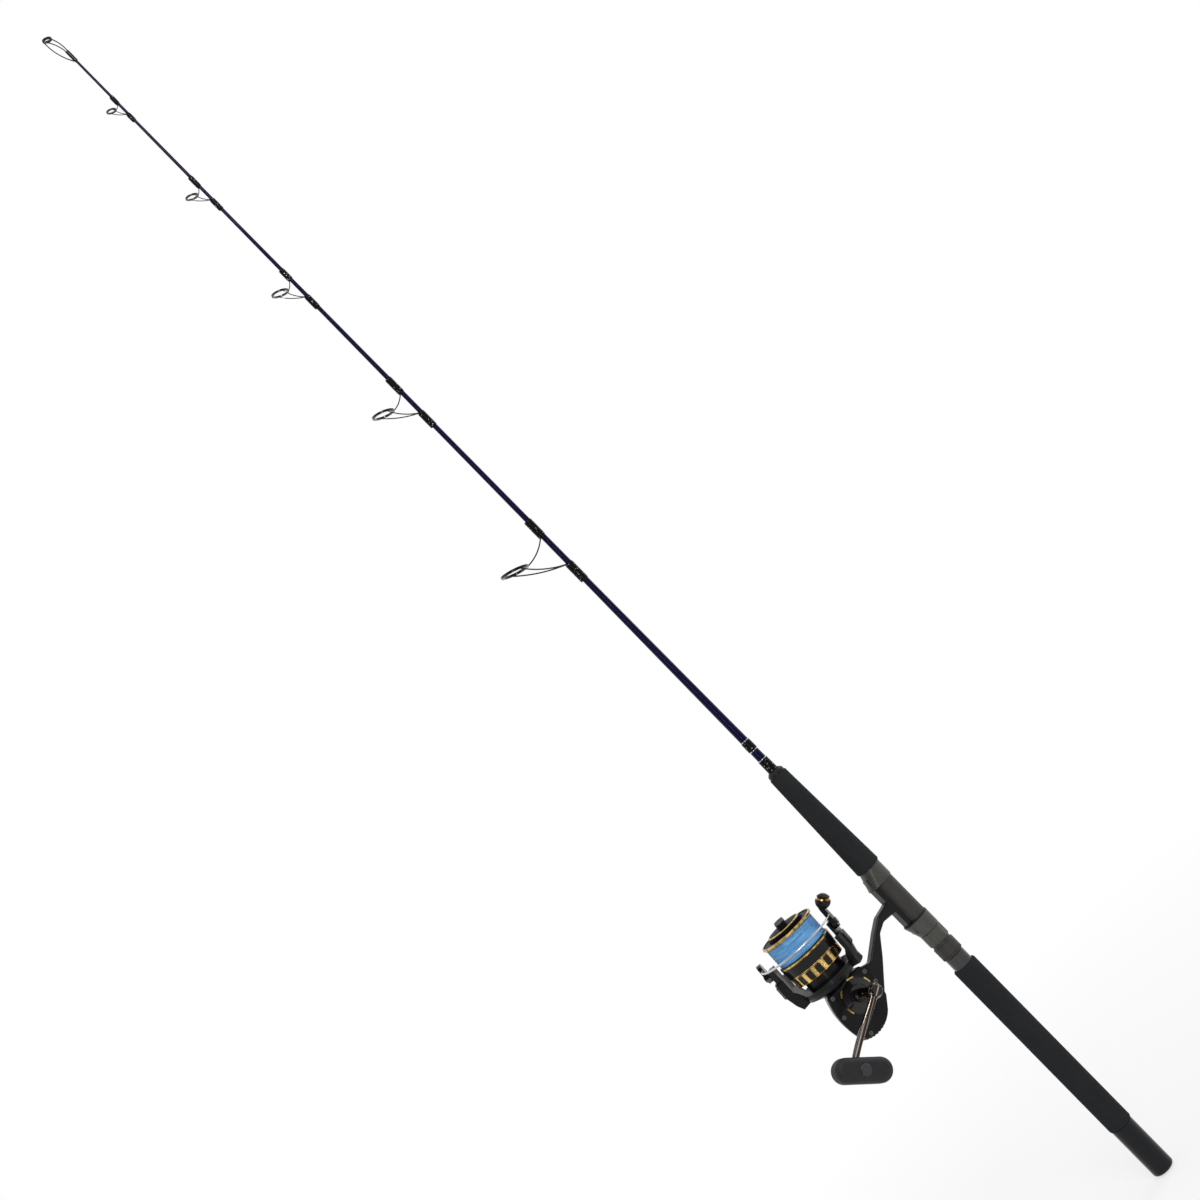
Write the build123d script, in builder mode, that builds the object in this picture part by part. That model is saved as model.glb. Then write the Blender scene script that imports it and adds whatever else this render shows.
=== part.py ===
from build123d import *
import os
from math import asin, cos, dist, hypot, pi, radians, sin, sqrt
from typing import NamedTuple

# A boat rod with a spinning reel. Millimetres.
# +Z runs along the rod from the butt to the tip, and the origin is the middle of the butt's end face.
# The reel hangs on the -X side of the rod, and its handle is on the -Y side.

# Clearances
glue_gap = 0.05
running_gap = 0.06
clear_gap = 0.3

# Rod blank: a hollow tube that is straight inside the handle and tapers to the tip
blank_inset = 12.0
butt_radius = 5.4
shoulder_length = 51.0
shoulder_radius = 4.75
middle_length = 310.0
middle_radius = 3.15
tip_length = 700.0
tip_radius = 1.35
blank_wall = 1.0
hollow_length = 660.0

# Butt cap and grips
cap_length = 66.0
cap_radius = 13.2
cap_round = 4.0
rear_grip_length = 237.0
rear_grip_radius = 14.25
rear_grip_round = 2.5
fore_grip_length = 137.4
fore_grip_rear_radius = 14.6
fore_grip_front_radius = 10.75
fore_grip_round = 2.0
check_length = 6.0
check_front_radius = 7.0

# Reel seat: barrel, lock nut, hood nut, moving hood, window for the reel foot, front hood
barrel_length = 15.4
barrel_radius = 11.65
barrel_core_radius = 10.5
lock_nut_length = 16.1
lock_nut_radius = 12.8
nut_space = 3.8
hood_nut_length = 16.4
nut_radius = 13.0
nut_flats = 10
nut_flat_depth = 0.35
groove_width = 0.9
groove_depth = 0.4
nut_edge = 0.8
hood_length = 17.8
hood_radius = 13.0
hood_bulge = 6.2
hood_bulge_radius = 12.2
hood_ring_length = 1.5
window_length = 52.0
front_hood_length = 19.6
tube_radius = 12.0
thread_radius = 11.4
tube_bore = 8.0
arbor_length = 30.0
arbor_count = 3

# Thread wraps ahead of the grip
first_wrap_length = 16.0
wrap_space = 14.3
second_wrap_length = 12.2
wrap_thickness = 0.5
wrap_edge = 0.3
band_length = 1.0
band_thickness = 0.35

# Guide wraps and frames
wrap_cover = 0.45
wrap_slope = 1.6
foot_tail = 1.0
foot_lead = 1.4
leg_bow = 0.09
hoop_share = 2.1
hoop_depth = 1.5
leg_seat = 1.2
insert_wall = 1.7
insert_edge = 0.35


class Guide(NamedTuple):
    """One double-foot line guide, in millimetres back from the tip or out from the rod's axis."""
    ring_back: float
    height: float
    ring_radius: float
    lean: float
    tip_wrap_back: float
    tip_wrap_length: float
    butt_wrap_back: float
    butt_wrap_length: float
    wire: float

    @property
    def ring_z(self):
        """Height of the ring above the butt."""
        return tip_end - self.ring_back

    @property
    def tip_wrap(self):
        """Height at which the wrap on the tip side starts."""
        return tip_end - self.tip_wrap_back

    @property
    def butt_wrap(self):
        """Height at which the wrap on the butt side starts."""
        return tip_end - self.butt_wrap_back


guides = [
    Guide(78.2, 11.7, 5.65, 22.0, 76.2, 10.7, 101.2, 10.2, 0.42),
    Guide(202.3, 14.7, 7.3, 22.0, 198.5, 14.3, 231.8, 14.7, 0.46),
    Guide(340.0, 20.0, 9.8, 23.0, 335.5, 14.2, 376.9, 16.8, 0.52),
    Guide(507.3, 33.0, 12.6, 22.0, 502.7, 21.0, 551.9, 20.6, 0.62),
    Guide(722.0, 52.0, 16.0, 19.0, 714.3, 22.6, 778.6, 24.7, 0.75),
]

# Tip-top
tip_tube_length = 14.0
tip_tube_wall = 0.75
tip_tube_floor = 1.2
tip_ring_radius = 5.45
tip_ring_reach = 22.0
tip_ring_height = 7.3
tip_lean = 20.0
tip_wire = 0.6

# Reel frame: the spool's axis leans towards the first guide
reel_drop = 120.5
reel_back = 30.0
reel_tilt = 2.5
rotor_rest = -34.0
half_turn = 180.0

# Body casting, in the reel's own axes: x towards the rod, z along the spool, w towards the handle
body_front = 21.0
body_corner_x = -22.5
body_belly = 28.2
belly_z = -6.0
body_sole = 24.0
sole_z = -33.0
far_corner_x = -11.5
far_belly = 18.0
far_sole = 15.0
far_sole_z = -30.5
far_rear_x = -4.0
far_rear = 37.4
body_rear = 39.7
rear_x = -11.0
heel_x = 19.0
heel_z = -32.0
back_x = 29.0
back_z = -20.0
shoulder_x = 33.5
shoulder_z = 8.0
brow_x = 27.0
body_far = 16.0
body_near = 12.0
body_wall = 1.8
body_round = 2.0
body_corner = 5.0
cover_thickness = 4.0
cover_round = 1.5
boss_radius = 12.0
boss_base_radius = 18.2
boss_step = 0.8
boss_height = 4.0
boss_ring_radius = 20.2
boss_ring_width = 1.6
boss_ring_height = 0.8
guard_thickness = 1.5
guard_start = -30.5
guard_edge = -20.0
guard_half = 11.0
guard_scallops = 9
scallop_radius = 1.5
scallop_start = -120.0
scallop_range = 66.0
screw_radius = 1.3
screw_head_radius = 2.4
screw_head_height = 1.2
screw_slot_length = 3.2
screw_slot_width = 0.6
screw_length = 6.0
screw_post_radius = 2.6
screw_places = [(27.5, 12.5), (29.4, -2.5), (-19.0, 17.0), (-23.8, -4.5), (-13.0, -35.4)]

# Stem and foot
stem_half = 6.0
stem_round = 2.0
stem_front = [(27.0, 17.5), (44.0, 12.5), (70.0, 30.5), (84.0, 39.0)]
stem_rear = [(86.0, 30.5), (74.0, 25.0), (58.0, 6.0), (24.0, -30.0)]
stem_top_front = 43.5
stem_top_rear = 28.5
stem_corner = 6.0
foot_half = 6.0
foot_thickness = 4.4
foot_end_thickness = 2.6
foot_tuck = 12.5

# Front collar with the pinion's bearing and the one-way clutch
collar_radius = 12.0
collar_inner_end = 17.0
collar_end = 37.0
bearing_seat = 20.0
bearing_width = 4.0
bearing_radius = 6.0
clutch_start = 25.0
clutch_end = 35.0
clutch_radius = 9.0
collar_bore = 4.2

# Gear train: an offset face gear on the handle's axle drives the pinion
gear_offset = 4.8
pinion_teeth = 10
gear_teeth = 49
pinion_pitch_radius = 2.9
tooth_half_depth = 0.3
tooth_root_gap = 0.3
tooth_width = 0.6
gear_face = 2.4
gear_thickness = 2.5
gear_hub_radius = 4.4
axle_radius = 2.5
axle_bore = 1.5
axle_end = 22.0
axle_far_end = 14.0
axle_bearing_radius = 5.5
axle_bearing_width = 3.0
axle_boss_wall = 1.7
boss_lip = 1.0
pinion_rear = 10.5
pinion_neck = 17.5
pinion_journal = 3.2
pinion_thread = 2.8
pinion_end = 50.0

# Oscillation: a small gear on the axle turns the cam gear, whose pin moves the slider
small_teeth = 8
cam_teeth = 24
cam_module = 1.0
cam_addendum = 0.45
cam_tooth_width = 1.05
cam_far = 10.8
cam_thickness = 2.4
cam_post_radius = 2.0
cam_pin_radius = 2.0
spool_travel = 7.0
slider_length = 9.0
slider_far = 4.5
slider_near = 2.1
slider_wing = 10.5
slot_margin = 2.6
slot_width = 4.6
slot_depth = 2.0
guide_rod_radius = 1.25
guide_rod_x = -7.5
guide_rod_w = -1.2
guide_rod_front = 8.0
guide_rod_rear = -35.6
lug_length = 4.0
lug_wall = 1.6

# Main shaft
shaft_radius = 1.8
shaft_front = 106.0

# Rotor
rotor_rim = 22.0
rotor_mouth = 14.0
rotor_chin = 22.0
dish_radius = 33.5
dish_edge = 35.0
dish_wall = 2.0
dish_drop = 4.5
dish_floor = 30.0
cup_radius = 23.0
cup_wall = 3.0
cup_top = 44.0
plate_thickness = 3.0
rotor_boss_radius = 7.0
rotor_boss_depth = 2.0
rotor_nut_radius = 6.0
arm_half_angle = 14.0
arm_foot_half_angle = 22.0
arm_outer = 47.5
lever_arm_outer = 43.5
arm_inner = 38.0
arm_root = 30.0
arm_root_z = 26.5
arm_heel = 41.0
arm_heel_z = 25.5
arm_knee_z = 46.0
arm_step_z = 62.0
arm_step = 3.0
arm_top = 76.5
arm_throat = 34.6
arm_throat_z = 41.5
arm_cover_thickness = 1.1
arm_cover_start = 44.0
arm_cover_end = 60.0
arm_cover_half_angle = 11.0

# Bail
bail_z = 72.0
lever_inner = 41.0
holder_inner = 45.0
bail_plate_thickness = 5.0
bail_boss_radius = 7.0
bail_neck_radius = 5.0
bail_neck_z = 89.0
holder_boss_radius = 6.0
holder_tip_radius = 4.2
holder_tip_z = 84.5
wire_z = 82.0
wire_reach = 49.5
wire_radius = 1.1
wire_end_gap = 0.3
pivot_radius = 2.0
pivot_head_radius = 3.4
pivot_head_height = 1.4
pivot_length = 8.0
ball_x = 49.0
ball_z = 95.4
ball_radius = 8.2
ball_flat = 1.8
roller_width = 3.2
roller_radius = 7.2
roller_groove = 0.9
roller_pin_radius = 1.6
roller_cap_radius = 6.2
roller_cap_height = 2.6
roller_cap_edge = 0.7
roller_side_gap = 0.2

# Spool and its line
skirt_bottom = 45.4
skirt_bottom_radius = 30.2
spool_radius = 32.3
skirt_wall = 1.4
flange_z = 68.5
flange_top = 72.0
arbor_radius = 20.0
lip_z = 95.6
lip_height = 3.0
lip_core_radius = 29.8
web_bottom = 64.0
web_top = 87.5
knob_recess_radius = 22.6
lip_proud = 0.6
hub_radius = 5.0
skirt_ring_height = 11.5
skirt_ring_wall = 0.9
window_count = 16
window_height = 9.2
window_share = 0.58
line_depth = 9.8
line_turns = 24
line_radius = 0.2
line_sides = 8
line_bend_radius = 1.2
line_samples = 2400

# Drag
washer_count = 3
washer_radius = 17.8
washer_thickness = 0.8
disc_thickness = 1.0
disc_bore = 5.5
drag_step = 0.05
knob_radius = 21.4
knob_rear = 97.4
knob_boss_radius = 9.0
knob_boss_low = 93.7
knob_rim = 101.2
knob_face_radius = 19.6
knob_face = 102.6
knob_dome = 104.6
knob_bar_width = 11.0
knob_bar_length = 30.0
knob_bar_top = 109.0
knob_bar_angle = 66.0
knob_bore_end = 108.0

# Handle
stud_inner = 8.0
hub_start = 22.6
hub_end = 54.0
hub_root_radius = 7.0
hub_spigot_radius = 4.0
hub_cap_edge = 0.8
hub_tip_radius = 5.6
arm_length = 85.1
arm_angle = 207.9
arm_thickness = 5.0
arm_hub_radius = 8.0
arm_end_radius = 5.2
arm_bends = [(0.4, -1.6), (0.75, -2.8)]
arm_half_width = 3.5
arm_edge = 1.6
hub_cap_radius = 6.0
hub_cap_height = 3.0
knob_axle_radius = 2.5
knob_axle_rivet = 3.0
knob_collar_radius = 4.4
knob_collar_height = 2.6
knob_neck_radius = 7.6
knob_neck_height = 2.0
knob_neck_flare = 2.4
grip_length = 62.4
grip_width = 26.0
grip_depth = 23.0
grip_round = 8.0
grip_angle = -41.2
knob_bearing_width = 3.0
knob_bearing_radius = 5.0
knob_cap_radius = 6.2
knob_cap_height = 1.6
knob_recess = 1.0

# Heights of the rod's pieces, from the butt
grip_z = cap_length
barrel_z = grip_z + rear_grip_length
lock_z = barrel_z + barrel_length
space_z = lock_z + lock_nut_length
nut_z = space_z + nut_space
hood_z = nut_z + hood_nut_length
hood_mouth = hood_z + hood_length
window_z = hood_mouth + hood_ring_length
front_z = window_z + window_length
fore_z = front_z + front_hood_length
check_z = fore_z + fore_grip_length
wrap_z = check_z + check_length
second_wrap_z = wrap_z + first_wrap_length + wrap_space
shoulder_end = wrap_z + shoulder_length
middle_end = shoulder_end + middle_length
tip_end = middle_end + tip_length
hollow_end = shoulder_end + hollow_length
foot_middle = window_z + window_length / 2
blank_bore = butt_radius + glue_gap

# Radii of the blank at each station along it
stations = [
    (blank_inset, butt_radius),
    (wrap_z, butt_radius),
    (shoulder_end, shoulder_radius),
    (middle_end, middle_radius),
    (tip_end, tip_radius),
]


def blank_radius(z):
    """Outer radius of the blank at a height, between its two nearest stations."""
    for (z0, r0), (z1, r1) in zip(stations, stations[1:]):
        if z <= z1:
            return r0 + (r1 - r0) * (z - z0) / (z1 - z0)
    return tip_radius


def spun(plane, angle):
    """A plane turned about its own normal."""
    turned = radians(angle)
    return Plane(
        origin=plane.origin,
        x_dir=plane.x_dir * cos(turned) + plane.y_dir * sin(turned),
        z_dir=plane.z_dir,
    )


# Planes of the reel
tilt = radians(reel_tilt)
reel = Plane(
    origin=(-reel_drop, 0, foot_middle - reel_back),
    x_dir=(cos(tilt), 0, -sin(tilt)),
    z_dir=(sin(tilt), 0, cos(tilt)),
)
reel_axis = Axis(reel.origin, reel.z_dir)
side = Plane(origin=reel.origin, x_dir=reel.x_dir, z_dir=-reel.y_dir)
rotor_frame = spun(reel, rotor_rest)
crank = Plane(origin=reel.from_local_coords((gear_offset, 0, 0)), x_dir=reel.x_dir, z_dir=-reel.y_dir)
crank_axis = Axis(crank.origin, crank.z_dir)
crank_half = Plane(origin=crank.origin, x_dir=reel.x_dir, z_dir=-reel.z_dir)


def arm_plane(angle):
    """Half plane through the spool's axis at an angle from the rotor's first arm."""
    turned = spun(rotor_frame, angle)
    return Plane(origin=turned.origin, x_dir=turned.x_dir, z_dir=-turned.y_dir)


def bail_plane(reach):
    """Plane across the bail's pivot line: x across the arm, y along the spool."""
    return Plane(
        origin=rotor_frame.from_local_coords((reach, 0, 0)),
        x_dir=rotor_frame.y_dir,
        z_dir=rotor_frame.x_dir,
    )


def turn(plane, axis, *points, mode=Mode.ADD, arc=360.0):
    """Revolve a closed outline of (radius, height) points round an axis."""
    with BuildSketch(plane, mode=Mode.PRIVATE) as outline:
        with BuildLine():
            Polyline(*points, close=True)
        make_face()
    revolve(outline.sketch, axis=axis, revolution_arc=arc, mode=mode)


def ring(plane, axis, inner, outer, low, high, mode=Mode.ADD):
    """A plain ring, or a disc where the inner radius is zero."""
    turn(plane, axis, (inner, low), (outer, low), (outer, high), (inner, high), mode=mode)


def finish(part, name):
    """Label a finished piece and write its file."""
    part.label = name
    export_step(part, f"parts/{name}.step")


os.makedirs("parts", exist_ok=True)

# Blank
with BuildPart() as blank:
    outer = [(r, z) for z, r in stations]
    inner = [(r - blank_wall, z) for z, r in stations if z < hollow_end]
    bore_tip = (blank_radius(hollow_end) - blank_wall, hollow_end)
    turn(Plane.XZ, Axis.Z, *outer, (0, tip_end), (0, hollow_end), bore_tip, *reversed(inner))
finish(blank.part, "blank")

# Butt cap: a rounded plug on the blank's end
with BuildPart() as butt_cap:
    ring(Plane.XZ, Axis.Z, 0, cap_radius, 0, cap_length - glue_gap)
    fillet(butt_cap.edges().group_by(Axis.Z)[0], cap_round)
    ring(Plane.XZ, Axis.Z, 0, blank_bore, blank_inset - glue_gap, cap_length, mode=Mode.SUBTRACT)
finish(butt_cap.part, "butt_cap")

# Rear grip
with BuildPart() as rear_grip:
    ring(Plane.XZ, Axis.Z, 0, rear_grip_radius, grip_z, barrel_z - glue_gap)
    fillet(rear_grip.edges().filter_by(GeomType.CIRCLE), rear_grip_round)
    ring(Plane.XZ, Axis.Z, 0, blank_bore, grip_z - glue_gap, barrel_z, mode=Mode.SUBTRACT)
finish(rear_grip.part, "rear_grip")

# Reel seat tube: a core under the barrel, a threaded length and the smooth tube
with BuildPart() as seat_tube:
    ring(Plane.XZ, Axis.Z, tube_bore, barrel_core_radius, barrel_z, lock_z)
    ring(Plane.XZ, Axis.Z, tube_bore, thread_radius, lock_z, hood_z)
    ring(Plane.XZ, Axis.Z, tube_bore, tube_radius, hood_z, fore_z - glue_gap)
finish(seat_tube.part, "seat_tube")

# Arbors that centre the seat on the blank
with BuildPart() as seat_arbors:
    arbor_step = (fore_z - barrel_z - arbor_length) / (arbor_count - 1)
    for i in range(arbor_count):
        low = barrel_z + i * arbor_step
        ring(Plane.XZ, Axis.Z, blank_bore, tube_bore - glue_gap, low, low + arbor_length - glue_gap)
finish(seat_arbors.part, "seat_arbors")

# Barrel: the bright sleeve behind the lock nut
with BuildPart() as seat_barrel:
    ring(Plane.XZ, Axis.Z, barrel_core_radius + glue_gap, barrel_radius, barrel_z, lock_z - clear_gap)
    chamfer(seat_barrel.edges().group_by(Axis.Z)[-1].sort_by(SortBy.RADIUS)[-1], groove_depth)
finish(seat_barrel.part, "seat_barrel")


def cut_grooves(radius, start, count):
    """Fine grooves turned round a nut."""
    for i in range(count):
        low = start + 2 * i * groove_width
        ring(Plane.XZ, Axis.Z, radius - groove_depth, radius + nut_edge, low, low + groove_width,
             mode=Mode.SUBTRACT)


# Lock nut: two fine grooves at its butt end
with BuildPart() as lock_nut:
    ring(Plane.XZ, Axis.Z, thread_radius + running_gap, lock_nut_radius, lock_z, space_z)
    ends = lock_nut.edges().filter_by(GeomType.CIRCLE).group_by(SortBy.RADIUS)[-1]
    chamfer(ends, nut_edge)
    cut_grooves(lock_nut_radius, lock_z + 2 * nut_edge, 2)
finish(lock_nut.part, "lock_nut")

# Hood nut: flats round it for the fingers
with BuildPart() as hood_nut:
    ring(Plane.XZ, Axis.Z, 0, nut_radius, nut_z, hood_z - clear_gap)
    chamfer(hood_nut.edges().filter_by(GeomType.CIRCLE), nut_edge)
    flat_reach = (nut_radius - nut_flat_depth) / cos(pi / nut_flats)
    with BuildSketch(Plane.XY.offset(nut_z)):
        RegularPolygon(flat_reach, nut_flats)
    extrude(amount=hood_nut_length, mode=Mode.INTERSECT)
    ring(Plane.XZ, Axis.Z, 0, thread_radius + running_gap, nut_z, hood_z, mode=Mode.SUBTRACT)
finish(hood_nut.part, "hood_nut")

# Side outline of the reel foot: thin at both ends, where the hoods hold it
foot_low = window_z - foot_tuck
foot_high = front_z + foot_tuck
foot_bottom = tube_radius + foot_thickness
foot_tip = tube_radius + foot_end_thickness
foot_points = [
    (0, foot_low), (-foot_tip, foot_low), (-foot_bottom, window_z), (-foot_bottom, front_z),
    (-foot_tip, foot_high), (0, foot_high),
]


def cut_foot_pocket():
    """Room for the reel foot inside a hood, with clearance all round."""
    with BuildSketch(Plane.XZ, mode=Mode.PRIVATE) as pocket:
        with BuildLine():
            Polyline(*foot_points, close=True)
        make_face()
        offset(amount=clear_gap, kind=Kind.INTERSECTION, mode=Mode.REPLACE)
    extrude(pocket.sketch, amount=foot_half + clear_gap, both=True, mode=Mode.SUBTRACT)


def hood_shell(closed_z, mouth_z):
    """A sleeve on the tube that swells over the reel foot towards its mouth."""
    with BuildSketch(Plane.XY.offset(closed_z), mode=Mode.PRIVATE) as closed:
        Circle(hood_radius)
    with BuildSketch(Plane.XY.offset(mouth_z), mode=Mode.PRIVATE) as mouth:
        Circle(hood_radius)
        with Locations((-hood_bulge - hood_radius + hood_bulge_radius, 0)):
            Circle(hood_bulge_radius)
        make_hull()
    loft([closed.sketch, mouth.sketch])


# Moving hood, which slides along the tube over the foot's rear end
with BuildPart() as moving_hood:
    hood_shell(hood_z, hood_mouth)
    ring(Plane.XZ, Axis.Z, 0, tube_radius + running_gap, hood_z, hood_mouth, mode=Mode.SUBTRACT)
    cut_foot_pocket()
finish(moving_hood.part, "moving_hood")

# Black ring that lines the moving hood's mouth
with BuildPart() as hood_ring:
    with BuildSketch(Plane.XY.offset(hood_mouth + glue_gap)):
        Circle(hood_radius)
        with Locations((-hood_bulge - hood_radius + hood_bulge_radius, 0)):
            Circle(hood_bulge_radius)
        make_hull()
    extrude(amount=hood_ring_length - glue_gap)
    ring(Plane.XZ, Axis.Z, 0, tube_radius + running_gap, hood_mouth, window_z, mode=Mode.SUBTRACT)
    cut_foot_pocket()
finish(hood_ring.part, "hood_ring")

# Front hood, fixed on the tube
with BuildPart() as front_hood:
    hood_shell(fore_z - glue_gap, front_z)
    ring(Plane.XZ, Axis.Z, 0, tube_radius + glue_gap, front_z, fore_z, mode=Mode.SUBTRACT)
    cut_foot_pocket()
finish(front_hood.part, "front_hood")

# Fore grip and winding check
with BuildPart() as fore_grip:
    turn(Plane.XZ, Axis.Z, (0, fore_z), (fore_grip_rear_radius, fore_z),
         (fore_grip_front_radius, check_z - glue_gap), (0, check_z - glue_gap))
    fillet(fore_grip.edges().filter_by(GeomType.CIRCLE), fore_grip_round)
    ring(Plane.XZ, Axis.Z, 0, blank_bore, fore_z - glue_gap, check_z, mode=Mode.SUBTRACT)
finish(fore_grip.part, "fore_grip")

with BuildPart() as winding_check:
    check_rear_radius = fore_grip_front_radius - fore_grip_round / 2
    turn(Plane.XZ, Axis.Z, (blank_bore, check_z), (check_rear_radius, check_z),
         (check_rear_radius, check_z + check_length / 2), (check_front_radius, wrap_z - glue_gap),
         (blank_bore, wrap_z - glue_gap))
finish(winding_check.part, "winding_check")


def sleeve(low, high, thickness, edge):
    """A wrap of thread that follows the blank's taper, with its edges eased."""
    r0 = blank_radius(low) + glue_gap
    r1 = blank_radius(high) + glue_gap
    turn(Plane.XZ, Axis.Z, (r0, low), (r0 + thickness - edge, low), (r0 + thickness, low + edge),
         (r1 + thickness, high - edge), (r1 + thickness - edge, high), (r1, high))


# Two black wraps ahead of the grip, with silver bands at their ends
with BuildPart() as butt_wraps:
    sleeve(wrap_z, wrap_z + first_wrap_length, wrap_thickness, wrap_edge)
    sleeve(second_wrap_z, second_wrap_z + second_wrap_length, wrap_thickness, wrap_edge)
finish(butt_wraps.part, "butt_wraps")

with BuildPart() as trim_bands:
    band_starts = [
        wrap_z + first_wrap_length + glue_gap,
        second_wrap_z - band_length - glue_gap,
        second_wrap_z + second_wrap_length + glue_gap,
    ]
    for start in band_starts:
        sleeve(start, start + band_length, band_thickness, wrap_edge / 2)
finish(trim_bands.part, "trim_bands")


def foot_span(guide, toward_tip):
    """Low and high end of one foot of a guide, and the end where its legs start."""
    if toward_tip:
        low = guide.tip_wrap - foot_lead
        high = guide.tip_wrap + guide.tip_wrap_length - foot_tail
        return low, high, low
    low = guide.butt_wrap + foot_tail
    high = guide.butt_wrap + guide.butt_wrap_length + foot_lead
    return low, high, high


def foot_base(guide, toward_tip):
    """Distance from the rod's axis to the underside of a guide's foot."""
    return blank_radius(foot_span(guide, toward_tip)[0]) + glue_gap


def guide_wrap(guide, toward_tip):
    """Thread and varnish over one foot: thicker on the foot's side, with sloping ends."""
    low = guide.tip_wrap if toward_tip else guide.butt_wrap
    high = low + (guide.tip_wrap_length if toward_tip else guide.butt_wrap_length)
    thick_side = foot_base(guide, toward_tip) + 2 * guide.wire + glue_gap + wrap_cover
    thin_side = blank_radius(low) + glue_gap + wrap_thickness
    shift = (thick_side - thin_side) / 2
    reach = (thick_side + thin_side) / 2
    core = blank_radius(low) / 2
    axis = Axis((-shift, 0, 0), (0, 0, 1))
    plane = Plane(origin=(-shift, 0, 0), x_dir=(1, 0, 0), z_dir=(0, -1, 0))
    slope_radius = reach - wrap_edge
    turn(plane, axis, (0, low), (slope_radius, low), (reach, low + wrap_slope), (reach, high - wrap_slope),
         (slope_radius, high), (0, high))
    r0 = blank_radius(low) + glue_gap
    r1 = blank_radius(high) + glue_gap
    turn(Plane.XZ, Axis.Z, (0, low), (r0, low), (r1, high), (0, high), mode=Mode.SUBTRACT)
    slot_low, slot_high, start = foot_span(guide, toward_tip)
    slot_top = foot_base(guide, toward_tip) + 2 * guide.wire + glue_gap
    with BuildSketch(Plane.XZ, mode=Mode.PRIVATE) as slot:
        with BuildLine():
            Polyline((-core, slot_low - glue_gap), (-slot_top, slot_low - glue_gap),
                     (-slot_top, slot_high + glue_gap), (-core, slot_high + glue_gap), close=True)
        make_face()
    extrude(slot.sketch, amount=2 * guide.wire + glue_gap, both=True, mode=Mode.SUBTRACT)


# Wraps over the ten guide feet
with BuildPart() as guide_wraps:
    for guide in guides:
        guide_wrap(guide, True)
        guide_wrap(guide, False)
finish(guide_wraps.part, "guide_wraps")


def ring_plane(height, z, lean):
    """Plane of a guide ring: x across the rod, y away from the rod, leaning to the tip."""
    angle = radians(lean)
    return Plane(origin=(-height, 0, z), x_dir=(0, 1, 0), z_dir=(sin(angle), 0, cos(angle)))


def wire_leg(start, end, wire, bow):
    """A bent wire between two points, bowed sideways along a given direction."""
    chord = end - start
    middle = (start + end) / 2 + bow.normalized() * (chord.length * leg_bow)
    with BuildLine(mode=Mode.PRIVATE) as path:
        ThreePointArc(start, middle, end)
    line = path.line
    with BuildSketch(Plane(origin=line @ 0, z_dir=line % 0), mode=Mode.PRIVATE) as section:
        Circle(wire)
    sweep(section.sketch, path=line)


def hoop_radius(ring_radius, wire):
    """Inner radius of a guide's hoop, where its insert sits."""
    return ring_radius - hoop_share * wire


def guide_frame(guide):
    """Hoop, two feet, one leg from the tip-side foot and a fork from the butt-side foot."""
    plane = ring_plane(guide.height, guide.ring_z, guide.lean)
    hoop_inner = hoop_radius(guide.ring_radius, guide.wire)
    hoop_middle = (guide.ring_radius + hoop_inner) / 2
    for toward_tip in (True, False):
        low, high, start = foot_span(guide, toward_tip)
        base = foot_base(guide, toward_tip)
        top = base + 2 * guide.wire
        with BuildSketch(Plane.XZ, mode=Mode.PRIVATE) as foot:
            with BuildLine():
                Polyline((-base, low), (-top, low), (-top, high), (-base, high), close=True)
            make_face()
        extrude(foot.sketch, amount=2 * guide.wire, both=True)
        knee = start + guide.wire if toward_tip else start - guide.wire
        middle = -(base + leg_seat * guide.wire)
        if toward_tip:
            target = plane.from_local_coords((0, -hoop_middle, 0))
            wire_leg(Vector(middle, 0, knee), target, guide.wire, Vector(0, 0, -1))
        else:
            for hand in (1, -1):
                target = plane.from_local_coords((hand * hoop_middle, 0, 0))
                wire_leg(Vector(middle, hand * guide.wire, knee), target, guide.wire, Vector(-1, 0, 0))
    with BuildSketch(plane, mode=Mode.PRIVATE) as hoop:
        Circle(guide.ring_radius)
    extrude(hoop.sketch, amount=hoop_depth * guide.wire, both=True)
    with BuildSketch(plane, mode=Mode.PRIVATE) as opening:
        Circle(hoop_inner)
    extrude(opening.sketch, amount=guide.ring_radius, both=True, mode=Mode.SUBTRACT)


def ring_insert(plane, ring_radius, wire):
    """Hard ring inside a hoop, with a straight bore between two eased edges."""
    insert_outer = hoop_radius(ring_radius, wire) - glue_gap
    bore = insert_outer - insert_wall * sqrt(wire)
    half = 2 * wire
    axis = Axis(plane.origin, plane.z_dir)
    half_plane = Plane(origin=plane.origin, x_dir=plane.x_dir, z_dir=-plane.y_dir)
    turn(half_plane, axis, (bore + insert_edge, -half), (insert_outer, -half), (insert_outer, half),
         (bore + insert_edge, half), (bore, half - insert_edge), (bore, insert_edge - half))


# Guide frames, numbered from the tip
for number, guide in enumerate(guides, start=1):
    with BuildPart() as frame:
        guide_frame(guide)
    finish(frame.part, f"guide_frame_{number}")

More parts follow.
